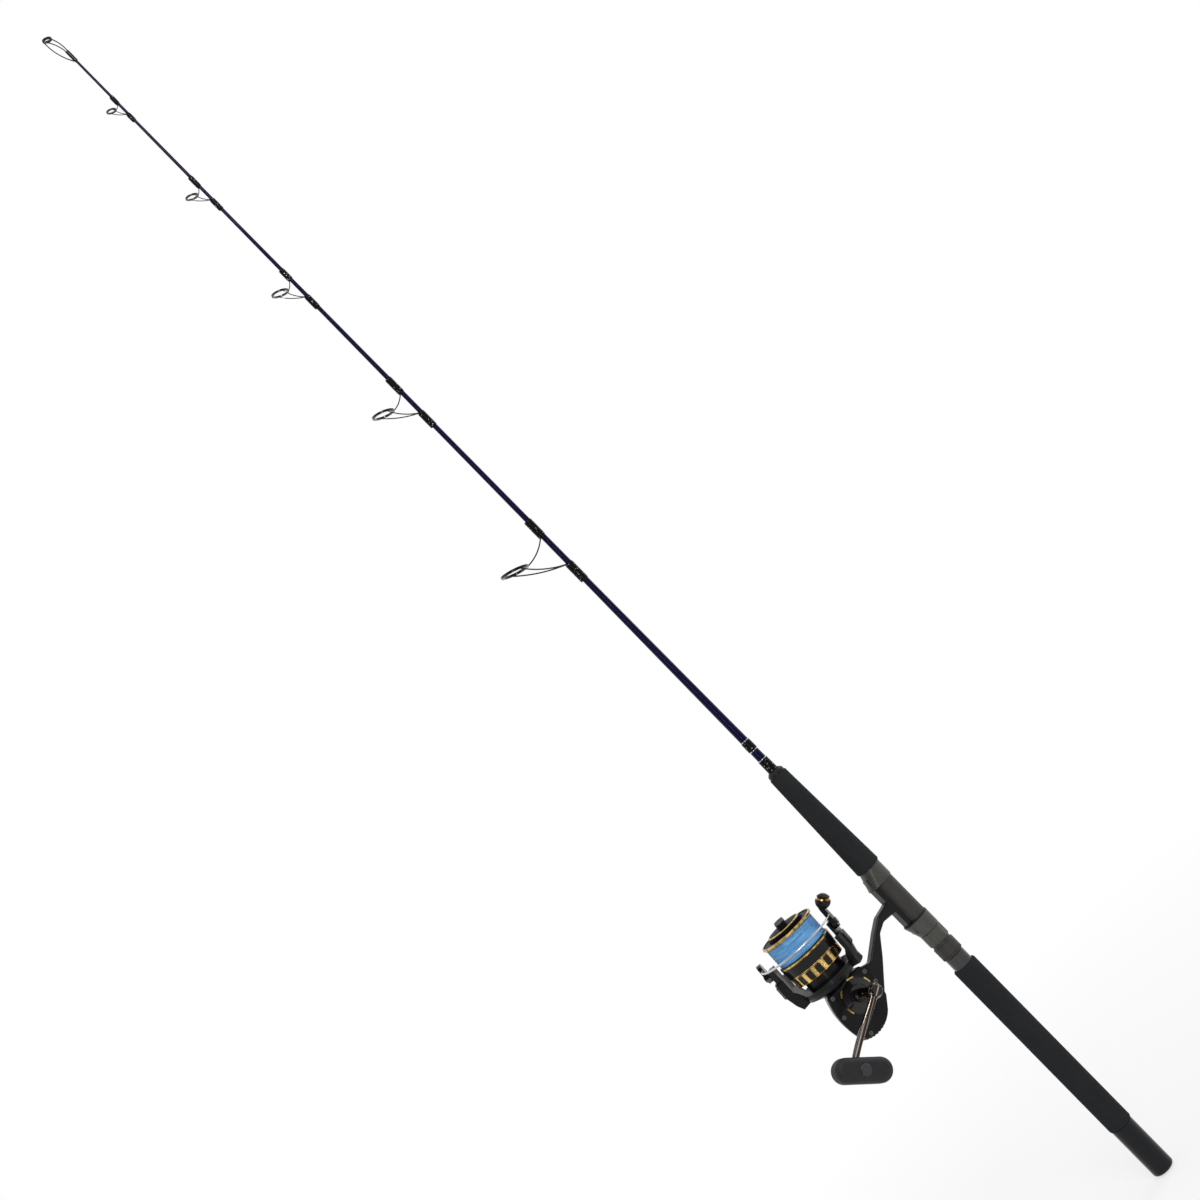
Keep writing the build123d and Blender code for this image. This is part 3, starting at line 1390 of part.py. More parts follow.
# Drag knob with a finger bar
with BuildPart() as drag_knob:
    turn(side, reel_axis, (0, knob_boss_low), (knob_boss_radius, knob_boss_low),
         (knob_boss_radius, knob_rear), (knob_radius, knob_rear), (knob_radius, knob_rim),
         (knob_face_radius, knob_face), (knob_boss_radius, knob_dome), (0, knob_dome))
    with BuildSketch(reel.offset(knob_face)):
        SlotOverall(knob_bar_length, knob_bar_width, rotation=knob_bar_angle)
    extrude(amount=knob_bar_top - knob_face)
    ring(side, reel_axis, 0, shaft_radius + running_gap, knob_boss_low, knob_bore_end, mode=Mode.SUBTRACT)
finish(drag_knob.part, "drag_knob")

# Handle: hub with its stud, arm and the cap that holds the arm on
arm_top_w = hub_end + arm_thickness
with BuildPart() as handle_hub:
    stud_radius = axle_bore - glue_gap
    turn(crank_half, crank_axis, (0, stud_inner), (stud_radius, stud_inner), (stud_radius, hub_start),
         (hub_root_radius, hub_start), (hub_tip_radius, hub_end - glue_gap),
         (hub_spigot_radius, hub_end - glue_gap), (hub_spigot_radius, arm_top_w), (0, arm_top_w))
finish(handle_hub.part, "handle_hub")

with BuildPart() as hub_cap:
    cap_base = arm_top_w + glue_gap
    turn(crank_half, crank_axis, (0, cap_base), (hub_cap_radius, cap_base),
         (hub_cap_radius, cap_base + hub_cap_height - hub_cap_edge),
         (hub_cap_radius - hub_cap_edge, cap_base + hub_cap_height), (0, cap_base + hub_cap_height))
finish(hub_cap.part, "hub_cap")

arm_frame = spun(crank, arm_angle)
with BuildPart() as handle_arm:
    with BuildSketch(arm_frame.offset(hub_end)):
        with BuildLine():
            ends = []
            for hand in (1, -1):
                bends = [(share * arm_length, bow + hand * arm_half_width) for share, bow in arm_bends]
                ends += [(0, hand * arm_half_width), (arm_length, hand * arm_half_width)]
                Spline(ends[-2], *bends, ends[-1])
            Line(ends[0], ends[2])
            Line(ends[1], ends[3])
        make_face()
        Circle(arm_hub_radius)
        with Locations((arm_length, 0)):
            Circle(arm_end_radius)
    extrude(amount=arm_thickness)
    arm_levels = handle_arm.edges().group_by(crank_axis)
    fillet(arm_levels[0] + arm_levels[-1], arm_edge)
    with BuildSketch(arm_frame.offset(hub_end)):
        Circle(hub_spigot_radius + glue_gap)
        with Locations((arm_length, 0)):
            Circle(knob_axle_rivet + glue_gap)
    extrude(amount=arm_thickness, mode=Mode.SUBTRACT)
finish(handle_arm.part, "handle_arm")

# Knob: axle riveted to the arm, two bearings, T-shaped grip and its cap
knob_centre = arm_frame.from_local_coords((arm_length, 0, 0))
knob_frame = Plane(origin=knob_centre, x_dir=spun(crank, grip_angle).x_dir, z_dir=crank.z_dir)
knob_half = Plane(origin=knob_centre, x_dir=knob_frame.x_dir, z_dir=-knob_frame.y_dir)
knob_axis = Axis(knob_centre, crank.z_dir)
collar_top = arm_top_w + glue_gap + knob_collar_height
knob_base = collar_top + clear_gap
bar_base = knob_base + knob_neck_height
bar_top = bar_base + grip_depth
recess_base = bar_top - knob_recess
bearing_room = knob_bearing_radius + glue_gap
with BuildPart() as knob_axle:
    collar_base = arm_top_w + glue_gap
    turn(knob_half, knob_axis, (0, hub_end), (knob_axle_rivet, hub_end), (knob_axle_rivet, collar_base),
         (knob_collar_radius, collar_base), (knob_collar_radius, collar_top),
         (knob_axle_radius, collar_top), (knob_axle_radius, recess_base - clear_gap),
         (0, recess_base - clear_gap))
finish(knob_axle.part, "knob_axle")

with BuildPart() as knob_bearings:
    for low in (knob_base, recess_base - knob_bearing_width - glue_gap):
        ring(knob_half, knob_axis, knob_axle_radius + running_gap, knob_bearing_radius, low,
             low + knob_bearing_width)
finish(knob_bearings.part, "knob_bearings")

with BuildPart() as handle_knob:
    with BuildSketch(knob_frame.offset(bar_base)):
        SlotOverall(grip_length, grip_width)
    extrude(amount=grip_depth)
    levels = handle_knob.edges().group_by(knob_axis)
    fillet(levels[0] + levels[-1], grip_round)
    turn(knob_half, knob_axis, (0, knob_base), (knob_neck_radius, knob_base),
         (knob_neck_radius + knob_neck_flare, bar_base + knob_neck_flare), (0, bar_base + knob_neck_flare))
    ring(knob_half, knob_axis, 0, knob_axle_radius + clear_gap, knob_base, bar_top, mode=Mode.SUBTRACT)
    ring(knob_half, knob_axis, 0, bearing_room, knob_base, knob_base + knob_bearing_width + glue_gap,
         mode=Mode.SUBTRACT)
    ring(knob_half, knob_axis, 0, bearing_room, recess_base - knob_bearing_width - 2 * glue_gap, bar_top,
         mode=Mode.SUBTRACT)
    ring(knob_half, knob_axis, 0, knob_cap_radius + glue_gap, recess_base, bar_top, mode=Mode.SUBTRACT)
finish(handle_knob.part, "handle_knob")

with BuildPart() as knob_cap:
    cap_low = recess_base + glue_gap
    turn(knob_half, knob_axis, (0, cap_low), (knob_cap_radius, cap_low), (knob_cap_radius, bar_top),
         (knob_cap_radius - hub_cap_edge, cap_low + knob_cap_height), (0, cap_low + knob_cap_height))
finish(knob_cap.part, "knob_cap")
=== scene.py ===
# %% [markdown]
# # Dressing a boat rod and its spinning reel
#
# The solids of this rod and reel come from a CAD program. This lesson gives them their looks in
# Blender: a camera, a set of finishes made of shader nodes, a few pieces written as formulas, such as
# the line wound on the spool, and a studio to stand in.
# Everything is in metres. +Z runs from the butt to the tip, the reel hangs at -X and its handle is
# on the -Y side.

import math

import bmesh
import bpy
import numpy as np
from mathutils import Matrix


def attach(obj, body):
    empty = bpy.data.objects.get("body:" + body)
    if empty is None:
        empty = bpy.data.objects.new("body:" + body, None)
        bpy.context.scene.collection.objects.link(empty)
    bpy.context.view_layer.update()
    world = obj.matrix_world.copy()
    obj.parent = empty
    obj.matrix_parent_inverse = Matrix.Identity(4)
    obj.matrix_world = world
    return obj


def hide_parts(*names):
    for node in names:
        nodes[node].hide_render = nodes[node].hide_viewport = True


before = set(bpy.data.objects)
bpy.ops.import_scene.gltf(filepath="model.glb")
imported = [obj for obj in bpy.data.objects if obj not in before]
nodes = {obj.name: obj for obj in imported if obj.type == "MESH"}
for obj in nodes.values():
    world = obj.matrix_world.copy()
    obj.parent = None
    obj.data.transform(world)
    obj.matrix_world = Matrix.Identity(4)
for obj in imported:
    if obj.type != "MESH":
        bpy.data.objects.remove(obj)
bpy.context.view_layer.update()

# %% [markdown]
# ## A camera at the photograph's angle
#
# The rod was photographed nearly from its side, turned a little so that the handle comes forward, and
# it lies across the picture from corner to corner. A camera can be aimed with a constraint, but here
# the three axes of the picture are known, so they go straight into the camera's matrix: `right` and
# `up` in the picture, and `back`, from the rod to the lens.

# %% Camera
TURN = math.radians(24.0)
# In the picture the rod runs this far to the left for this far up.
LEFTWARD, UPWARD = 0.7009, 0.7135
ROLL = math.atan2(LEFTWARD, UPWARD)
AIM_ALONG, AIM_ACROSS = 0.8449, -0.0044
DISTANCE = 2.240
LENS, SENSOR = 63.75, 36.0
ALONG = np.array([0.0, 0.0, 1.0])
ACROSS = np.array([math.cos(TURN), -math.sin(TURN), 0.0])
right = -math.sin(ROLL) * ALONG + math.cos(ROLL) * ACROSS
up = math.cos(ROLL) * ALONG + math.sin(ROLL) * ACROSS
back = np.cross(right, up)
aim = AIM_ALONG * ALONG + AIM_ACROSS * ACROSS
eye = aim + DISTANCE * back

camera_data = bpy.data.cameras.new("camera")
camera_data.lens = LENS
camera_data.sensor_width = SENSOR
camera = bpy.data.objects.new("camera", camera_data)
bpy.context.scene.collection.objects.link(camera)
pose = np.eye(4)
pose[:3] = np.column_stack([right, up, back, eye])
camera.matrix_world = Matrix(pose.tolist())
bpy.context.scene.camera = camera
print("camera at", np.round(eye, 3))

# %% [markdown]
# ## Shader arithmetic that reads like Python
#
# A finish is a small graph of nodes. Adding each Math node by hand hides the idea, so `Flow` wraps one
# output socket and turns `+ - * < >` into the Math node that does it. `Graph` makes every other node
# through a single method, `node`, for a material or for the world, and `Finish` is the graph of one
# material.

# %% The node kit
class Flow:
    """A number on its way from one shader node to the next."""

    def __init__(self, graph, socket):
        self.graph, self.socket = graph, socket

    def __add__(self, other):
        return self.graph.math("ADD", self, other)

    def __sub__(self, other):
        return self.graph.math("SUBTRACT", self, other)

    def __rsub__(self, other):
        return self.graph.math("SUBTRACT", other, self)

    def __mul__(self, other):
        return self.graph.math("MULTIPLY", self, other)

    def __lt__(self, other):
        return self.graph.math("LESS_THAN", self, other)

    def __gt__(self, other):
        return self.graph.math("GREATER_THAN", self, other)

    __radd__, __rmul__ = __add__, __mul__


class Graph:
    """A tree of shader nodes."""

    def __init__(self, tree):
        self.tree = tree

    def node(self, kind, settings=None, inputs=None, out=0):
        """Add a node: its settings first, then the values or links of its sockets."""
        made = self.tree.nodes.new(kind)
        for key, value in (settings or {}).items():
            setattr(made, key, value)
        for key, value in (inputs or {}).items():
            self.feed(made.inputs[key], value)
        return Flow(self, made.outputs[out])

    def feed(self, socket, value):
        """Link a flow into a socket, or set the socket's own value."""
        if isinstance(value, Flow):
            self.tree.links.new(value.socket, socket)
        else:
            socket.default_value = value

    def math(self, operation, a, b=0.0):
        return self.node("ShaderNodeMath", {"operation": operation}, {0: a, 1: b})

    def vector(self, operation, a, b=(0, 0, 0), out="Vector"):
        return self.node("ShaderNodeVectorMath", {"operation": operation}, {0: a, 1: b}, out)

    def seen(self):
        """1 for what the lens sees, straight, mirrored or through glass, and 0 for light on things."""
        lens, mirror, glass = (self.node("ShaderNodeLightPath", out=f"Is {kind} Ray")
                               for kind in ("Camera", "Glossy", "Transmission"))
        return self.math("MAXIMUM", self.math("MAXIMUM", lens, mirror), glass)


print("node kit ready")


# %% The finish kit
class Finish(Graph):
    """One material, its Principled surface and the patterns that feed it."""

    def __init__(self, name, **constants):
        self.material = bpy.data.materials.new(name)
        self.material.use_nodes = True
        super().__init__(self.material.node_tree)
        self.surface = self.tree.nodes["Principled BSDF"]
        for socket, value in constants.items():
            self.surface.inputs[socket.replace("_", " ")].default_value = value
        self.place = self.node("ShaderNodeTexCoord", out="Object")

    def noise(self, scale, detail=2.0, place=None):
        """Cloudy noise from 0 to 1; scale is in patches per metre."""
        return self.node("ShaderNodeTexNoise", None,
                         {"Vector": place or self.place, "Scale": scale, "Detail": detail})

    def cells(self, scale, out="Distance"):
        """Distance to the nearest of many scattered points, or each point's own random colour."""
        return self.node("ShaderNodeTexVoronoi", None, {"Vector": self.place, "Scale": scale}, out)

    def streaks(self, x, y, z, detail=3.0):
        """Noise with its own scale along each axis, so that it is drawn out into streaks."""
        return self.noise(1.0, detail, self.vector("MULTIPLY", self.place, (x, y, z)))

    def round(self, origin, axis, start):
        """Where a point is about an axis: height along it, distance from it, and angle from start."""
        arm = self.vector("SUBTRACT", self.place, tuple(origin))
        height = self.vector("DOT_PRODUCT", arm, tuple(axis), "Value")
        radius = self.vector("LENGTH", self.vector("CROSS_PRODUCT", arm, tuple(axis)), out="Value")
        beside = self.vector("DOT_PRODUCT", arm, tuple(np.cross(axis, start)), "Value")
        ahead = self.vector("DOT_PRODUCT", arm, tuple(start), "Value")
        return height, radius, self.math("ARCTAN2", beside, ahead)

    def turned(self, origin, axis, start, fine, drift):
        """Rings as a lathe leaves them: noise that is fine along the axis and outwards, and drifts
        slowly round it, on the cosine and sine of the angle so that no seam shows."""
        height, radius, angle = self.round(origin, axis, start)
        spot = self.node("ShaderNodeCombineXYZ", None, {
            0: (height + radius) * fine,
            1: self.math("COSINE", angle) * drift,
            2: self.math("SINE", angle) * drift})
        return self.noise(1.0, 3.0, spot)

    def part(self, letter, place=None):
        """The x, y or z of a position."""
        return self.node("ShaderNodeSeparateXYZ", None, {0: place or self.place}, letter)

    def shade(self, share, dark, light):
        """A colour between two, by a share from 0 to 1; each is three numbers or a flow."""
        ends = [end if isinstance(end, Flow) else (*end, 1.0) for end in (dark, light)]
        return self.node("ShaderNodeMix", {"data_type": "RGBA"}, {0: share, 6: ends[0], 7: ends[1]}, 2)

    def paint(self, **flows):
        """Feed the surface: Base_Color, Roughness, Metallic, Coat_Weight."""
        for socket, value in flows.items():
            self.feed(self.surface.inputs[socket.replace("_", " ")], value)

    def relief(self, height, depth):
        """Raise the surface by a height from 0 to 1 times a depth in metres."""
        bump = self.node("ShaderNodeBump", None, {"Height": height, "Distance": depth}, "Normal")
        self.feed(self.surface.inputs["Normal"], bump)
        return self


print("finish kit ready")

# %% [markdown]
# ## The rod's finishes
#
# The blank is dark navy under clear varnish, so it is a smooth base with a thin coat. The thread
# wraps are black with fine sparkle: thread shows as rings a third of a millimetre apart, and a few
# cells of a scatter pattern turn into bright flakes. The grips are closed-cell foam, which is matte
# and pitted. The seat is graphite-filled nylon, and its hoods are warm gray satin.

# %% Rod finishes
THREAD_PITCH = 0.00034
SPECKS_PER_METRE = 620.0


def navy_varnish():
    f = Finish("navy_varnish", Coat_Weight=0.5, Coat_IOR=1.24, Coat_Roughness=0.06,
               Specular_IOR_Level=0.05)
    flake = f.noise(6000.0)
    drift = f.noise(18.0)
    tone = flake * 0.6 + drift * 0.4
    f.paint(Base_Color=f.shade(tone, (0.0016, 0.0017, 0.012), (0.0066, 0.0070, 0.046)),
            Roughness=0.22 + 0.14 * f.noise(400.0))
    return f.relief(f.noise(120.0), 0.00003)


def thread_varnish():
    f = Finish("thread_varnish", Coat_Weight=0.5, Coat_IOR=1.2, Coat_Roughness=0.06,
               Specular_IOR_Level=0.05)
    thread = f.math("SINE", f.part("Z") * (2 * math.pi / THREAD_PITCH)) * 0.5 + 0.5
    speck = f.cells(SPECKS_PER_METRE) < 0.26
    chosen = f.part("X", f.cells(SPECKS_PER_METRE, "Color")) > 0.8
    sparkle = speck * chosen
    f.paint(Base_Color=f.shade(sparkle, (0.004, 0.004, 0.0045), (0.62, 0.64, 0.68)),
            Metallic=sparkle * 0.8, Roughness=0.28 + 0.2 * thread)
    return f.relief(thread * 0.6 + f.noise(260.0) * 0.4, 0.00005)


def silver_trim():
    f = Finish("silver_trim", Coat_Weight=0.4)
    rings = f.streaks(300.0, 300.0, 9000.0)
    f.paint(Base_Color=f.shade(rings, (0.42, 0.43, 0.45), (0.72, 0.73, 0.75)), Metallic=1.0,
            Roughness=0.16 + 0.18 * rings)
    return f.relief(rings, 0.00002)


def foam_grip():
    f = Finish("foam_grip", Specular_IOR_Level=0.14)
    pits = f.cells(1500.0)
    fine = f.noise(5200.0, 4.0)
    worn = f.noise(26.0, 4.0)
    rubbed = f.streaks(140.0, 140.0, 22.0, 5.0)
    tone = worn * 0.35 + rubbed * 0.30 + pits * 0.35
    f.paint(Base_Color=f.shade(tone, (0.0065, 0.0070, 0.0078), (0.0260, 0.0272, 0.0295)),
            Roughness=0.78 + 0.2 * fine)
    return f.relief(pits * 0.6 + fine * 0.4, 0.00022)


def gloss_cap():
    f = Finish("gloss_cap", Coat_Weight=0.8, Coat_IOR=1.3, Coat_Roughness=0.1,
               Specular_IOR_Level=0.05)
    scuff = f.streaks(900.0, 900.0, 90.0, 5.0)
    f.paint(Base_Color=f.shade(scuff, (0.0025, 0.0028, 0.0035), (0.007, 0.0078, 0.0095)),
            Roughness=0.26 + 0.22 * scuff)
    return f.relief(f.noise(700.0), 0.00002)


def graphite_seat():
    f = Finish("graphite_seat", Specular_IOR_Level=0.3)
    fleck = f.noise(3200.0, 3.0)
    cloud = f.noise(60.0, 3.0)
    tone = fleck * 0.5 + cloud * 0.5
    f.paint(Base_Color=f.shade(tone, (0.016, 0.0155, 0.0145), (0.046, 0.044, 0.041)),
            Roughness=0.42 + 0.16 * fleck)
    return f.relief(fleck, 0.00004)


def hood_satin():
    f = Finish("hood_satin", Coat_Weight=0.2, Coat_Roughness=0.2)
    lay = f.streaks(500.0, 500.0, 2600.0, 4.0)
    worn = f.noise(90.0, 4.0)
    tone = lay * 0.4 + worn * 0.6
    f.paint(Base_Color=f.shade(tone, (0.036, 0.0355, 0.032), (0.076, 0.075, 0.067)),
            Metallic=0.5, Roughness=0.36 + 0.16 * lay)
    return f.relief(lay, 0.00002)


def dark_sleeve():
    f = Finish("dark_sleeve", Coat_Weight=0.4, Coat_Roughness=0.05)
    rings = f.streaks(60.0, 60.0, 5200.0)
    f.paint(Base_Color=f.shade(rings, (0.018, 0.0185, 0.021), (0.062, 0.063, 0.068)), Metallic=0.95,
            Roughness=0.12 + 0.14 * rings)
    return f.relief(rings, 0.00001)


def black_trim():
    f = Finish("black_trim", Coat_Weight=0.2, Coat_IOR=1.3, Coat_Roughness=0.2,
               Specular_IOR_Level=0.15)
    grain = f.noise(2400.0, 3.0)
    f.paint(Base_Color=f.shade(grain, (0.005, 0.005, 0.0055), (0.014, 0.014, 0.015)),
            Roughness=0.36 + 0.2 * grain)
    return f.relief(grain, 0.00003)


def guide_wire():
    f = Finish("guide_wire", Coat_Weight=0.2, Coat_Roughness=0.1)
    tone = f.noise(700.0, 3.0)
    f.paint(Base_Color=f.shade(tone, (0.008, 0.0084, 0.010), (0.026, 0.027, 0.031)), Metallic=0.9,
            Roughness=0.22 + 0.16 * tone)
    return f.relief(f.noise(2500.0), 0.00001)


def ring_ceramic():
    f = Finish("ring_ceramic", Coat_Weight=0.5, Coat_Roughness=0.03, Specular_IOR_Level=0.3)
    tone = f.noise(1200.0)
    f.paint(Base_Color=f.shade(tone, (0.004, 0.004, 0.005), (0.016, 0.016, 0.019)),
            Roughness=0.12 + 0.1 * tone)
    return f.relief(f.noise(900.0), 0.000008)


print("rod finishes ready")

# %% [markdown]
# ## The reel's finishes
#
# The reel is painted satin black with gold trim. Rings left by a lathe are noise on the height, distance
# and angle about the spool's axis, which leans a little towards the rod. The same three numbers say
# where the enamel is gold and where it is black, and they lay painted reflections on the gold: pale and
# dark fans round the spool, and a painted highlight along each bar of the window ring. The crank is dark
# bronze plating with painted highlights along its edges, the bail is bright wire, and the knob is soft
# rubber.

# %% Where the reel is
MM = 0.001
LEAN = math.radians(2.5)
HUB = np.array([-120.5, 0.0, 370.0]) * MM
AXLE = np.array([math.sin(LEAN), 0.0, math.cos(LEAN)])
TOWARD_ROD = np.array([math.cos(LEAN), 0.0, -math.sin(LEAN)])
SIDEWAYS = np.array([0.0, 1.0, 0.0])
SPOOL = HUB, AXLE, TOWARD_ROD
CRANK = HUB + 4.8 * MM * TOWARD_ROD
BOSS = CRANK, -SIDEWAYS, TOWARD_ROD
# The handle arm: its direction from the crank to the knob, and how far out its middle stands.
ARM = np.array([-0.9033, 0.0, -0.4289])
ARM_OUT = 56.5 * MM
print("spool axis leans", round(math.degrees(LEAN), 1), "degrees")


# %% Black and gold finishes of the reel
WINDOWS = 16
MATTE_FROM = 95.0 * MM
LIP_EDGE = 30.6 * MM
SKIRT_LINES = ((69.2 * MM, 70.9 * MM), (57.2 * MM, 58.0 * MM))
SKIRT_RADIUS = 29.9 * MM
KNOB_RING = (18.6 * MM, 20.4 * MM)
KNOB_RIM = 100.6 * MM
BOSS_ARCS = 6
DOME_RADIUS = 18.4 * MM


def satin_colour(f, dark, light):
    """Sprayed paint: the skin of an orange in the small, and clouds in the large."""
    peel = f.noise(1500.0, 2.0)
    cloud = f.noise(45.0, 3.0)
    return peel, f.shade(cloud * 0.7 + peel * 0.3, dark, light)


def reel_black():
    f = Finish("reel_black", Coat_Weight=0.35, Coat_IOR=1.3, Coat_Roughness=0.2,
               Specular_IOR_Level=0.12)
    peel, satin = satin_colour(f, (0.0026, 0.0027, 0.0031), (0.0085, 0.0087, 0.0097))
    f.paint(Base_Color=satin, Roughness=0.34 + 0.16 * peel)
    return f.relief(peel, 0.00002)


def within(flow, low, high):
    """1 where a flow lies between two numbers, 0 elsewhere."""
    return (flow > low) * (flow < high)


def gold_colour(f, glow=0.0):
    """Turned gold: fine rings round the spool, with painted reflections across them as pale and dark
    fans; glow adds painted highlights and shade.
    """
    rings = f.turned(*SPOOL, 4200.0, 1.5)
    # painted reflections: broad pale and dark fans round the spool, as the gold would mirror a bright
    # and dark room
    painted_reflection_fans = f.turned(*SPOOL, 60.0, 7.0)
    tone = rings * 0.5 + painted_reflection_fans * 2.2 - 0.85 + glow
    return rings, f.shade(f.math("MINIMUM", f.math("MAXIMUM", tone, 0.0), 1.0),
                          (0.120, 0.052, 0.005), (0.900, 0.620, 0.190))


def reel_gold():
    f = Finish("reel_gold", Coat_Roughness=0.1)
    rings, gold = gold_colour(f)
    f.paint(Base_Color=gold, Metallic=1.0, Roughness=0.18 + 0.18 * rings, Coat_Weight=0.3)
    return f.relief(rings, 0.00001)


def window_gold():
    """The gold ring with windows: each bar between two windows gets a painted highlight along its middle
    and painted shade at its sides, and a bump rounds it.
    """
    f = Finish("window_gold", Coat_Roughness=0.08)
    # Through glow, bars paints a highlight along the middle of each bar and shade at its sides; in the
    # relief it rounds the bars.
    bars = f.math("COSINE", f.round(*SPOOL)[2] * WINDOWS)
    rings, gold = gold_colour(f, -0.2 - 0.55 * bars)
    f.paint(Base_Color=gold, Metallic=1.0, Roughness=0.16 + 0.16 * rings, Coat_Weight=0.3)
    return f.relief(rings - bars * 0.8, 0.0003)


def gold_on_black(name, mask_of):
    """Black enamel with gold where a mask is 1: the mask is worked out from the place on the reel.
    The enamel is polished on the skirt and matte on the front of the spool."""
    f = Finish(name, Coat_IOR=1.26, Coat_Roughness=0.06, Specular_IOR_Level=0.05)
    mask = mask_of(f)
    polished = f.round(*SPOOL)[0] < MATTE_FROM
    rings, gold = gold_colour(f)
    enamel = f.shade(rings, (0.0025, 0.0025, 0.0025), (0.008, 0.008, 0.0084))
    f.paint(Base_Color=f.shade(mask, enamel, gold), Metallic=mask,
            Roughness=0.36 + 0.16 * rings - 0.14 * mask, Coat_Weight=polished * (1.0 - 0.8 * mask))
    return f.relief(rings, 0.00001)


def lip_enamel():
    """Gold on the outer edge of the spool's lip, black on its face."""
    return gold_on_black("lip_enamel", lambda f: f.round(*SPOOL)[1] > LIP_EDGE)


def spool_enamel():
    """A gold line along the top of the skirt and a thin one above its windows."""
    def mask(f):
        height, radius, _ = f.round(*SPOOL)
        broad, thin = (within(height, *line) for line in SKIRT_LINES)
        return (broad + thin) * (radius > SKIRT_RADIUS)
    return gold_on_black("spool_enamel", mask)


def knob_enamel():
    """A gold ring round the rim of the drag knob."""
    def mask(f):
        height, radius, _ = f.round(*SPOOL)
        return within(radius, *KNOB_RING) * (height > KNOB_RIM)
    return gold_on_black("knob_enamel", mask)


def boss_enamel():
    """Gold arcs round the crank's boss, with black between them."""
    return gold_on_black(
        "boss_enamel", lambda f: f.math("SINE", f.round(*BOSS)[2] * BOSS_ARCS) > 0.3)


def cover_black():
    """The cover's satin paint, glossy on the dome round the crank."""
    f = Finish("cover_black", Coat_IOR=1.36, Coat_Roughness=0.06, Specular_IOR_Level=0.1)
    peel, satin = satin_colour(f, (0.0028, 0.0029, 0.0033), (0.0095, 0.0097, 0.0107))
    dome = f.round(*BOSS)[1] < DOME_RADIUS
    f.paint(Base_Color=satin, Roughness=0.36 + 0.16 * peel - 0.22 * dome,
            Coat_Weight=0.15 + 0.75 * dome)
    return f.relief(peel, 0.00002)


print("black and gold finishes ready")


# %% Metal, rubber and line finishes of the reel
def turned_steel():
    f = Finish("turned_steel")
    rings = f.streaks(500.0, 3600.0, 900.0, 4.0)
    f.paint(Base_Color=f.shade(rings, (0.42, 0.42, 0.43), (0.70, 0.70, 0.71)), Metallic=1.0,
            Roughness=0.18 + 0.16 * rings)
    return f.relief(rings, 0.00001)


def smoked_plate():
    f = Finish("smoked_plate", Coat_Weight=0.4, Coat_Roughness=0.04)
    haze = f.noise(260.0, 4.0)
    f.paint(Base_Color=f.shade(haze, (0.035, 0.034, 0.034), (0.110, 0.108, 0.106)), Metallic=0.95,
            Roughness=0.12 + 0.14 * haze)
    return f.relief(f.noise(1800.0), 0.000008)


def bronze_plate():
    """Dark plating, with painted highlights along the arm where its edges would catch the light."""
    f = Finish("bronze_plate", Coat_Weight=0.4, Coat_Roughness=0.06)
    haze = f.noise(180.0, 4.0)
    round_arm = f.round(CRANK - ARM_OUT * SIDEWAYS, ARM, SIDEWAYS)[2]
    # painted highlights: pale bands round the arm where its edges would catch the light
    edges = f.math("COSINE", round_arm * 6.0 + 0.8 * haze)
    glint = f.math("MAXIMUM", edges * 1.7 - 1.15 + 0.4 * haze, 0.0)
    f.paint(Base_Color=f.shade(glint, (0.016, 0.012, 0.0095), (0.480, 0.390, 0.310)), Metallic=0.94,
            Roughness=0.08 + 0.1 * haze)
    return f.relief(f.noise(1500.0), 0.00001)


def cut_brass():
    f = Finish("cut_brass")
    lay = f.streaks(900.0, 3000.0, 900.0)
    f.paint(Base_Color=f.shade(lay, (0.42, 0.30, 0.12), (0.66, 0.50, 0.24)), Metallic=1.0,
            Roughness=0.28 + 0.2 * lay)
    return f.relief(lay, 0.00001)


def friction_disc():
    f = Finish("friction_disc", Specular_IOR_Level=0.3)
    weave = f.cells(1400.0)
    f.paint(Base_Color=f.shade(weave, (0.014, 0.014, 0.014), (0.050, 0.050, 0.052)),
            Roughness=0.6 + 0.3 * weave)
    return f.relief(weave, 0.00005)


def soft_rubber():
    f = Finish("soft_rubber", Specular_IOR_Level=0.28)
    bloom = f.noise(70.0, 4.0)
    grain = f.noise(3600.0, 3.0)
    f.paint(Base_Color=f.shade(bloom, (0.007, 0.0072, 0.0080), (0.018, 0.0185, 0.0205)),
            Roughness=0.46 + 0.22 * grain)
    return f.relief(grain, 0.00005)


def satin_button():
    f = Finish("satin_button", Coat_Weight=0.3, Coat_Roughness=0.15, Specular_IOR_Level=0.3)
    lay = f.streaks(2600.0, 500.0, 2600.0, 4.0)
    f.paint(Base_Color=f.shade(lay, (0.016, 0.0165, 0.018), (0.040, 0.041, 0.044)), Metallic=0.4,
            Roughness=0.28 + 0.14 * lay)
    return f.relief(lay, 0.00001)


def blue_braid():
    f = Finish("blue_braid", Specular_IOR_Level=0.35)
    fibre = f.noise(5200.0, 3.0)
    lay = f.turned(*SPOOL, 1300.0, 1.3)
    worn = f.noise(60.0, 2.0)
    tone = lay * 1.3 + worn * 0.5 + fibre * 0.2 - 0.5
    f.paint(Base_Color=f.shade(tone, (0.010, 0.130, 0.400), (0.290, 0.660, 1.000)),
            Roughness=0.45 + 0.25 * fibre)
    return f.relief(fibre, 0.00004)


print("reel finishes ready")

# %% [markdown]
# ## Dress every solid
#
# Each solid keeps its CAD shape and gets the finish of the real piece. The table below reads like a
# parts list, which makes a wrong finish easy to find.

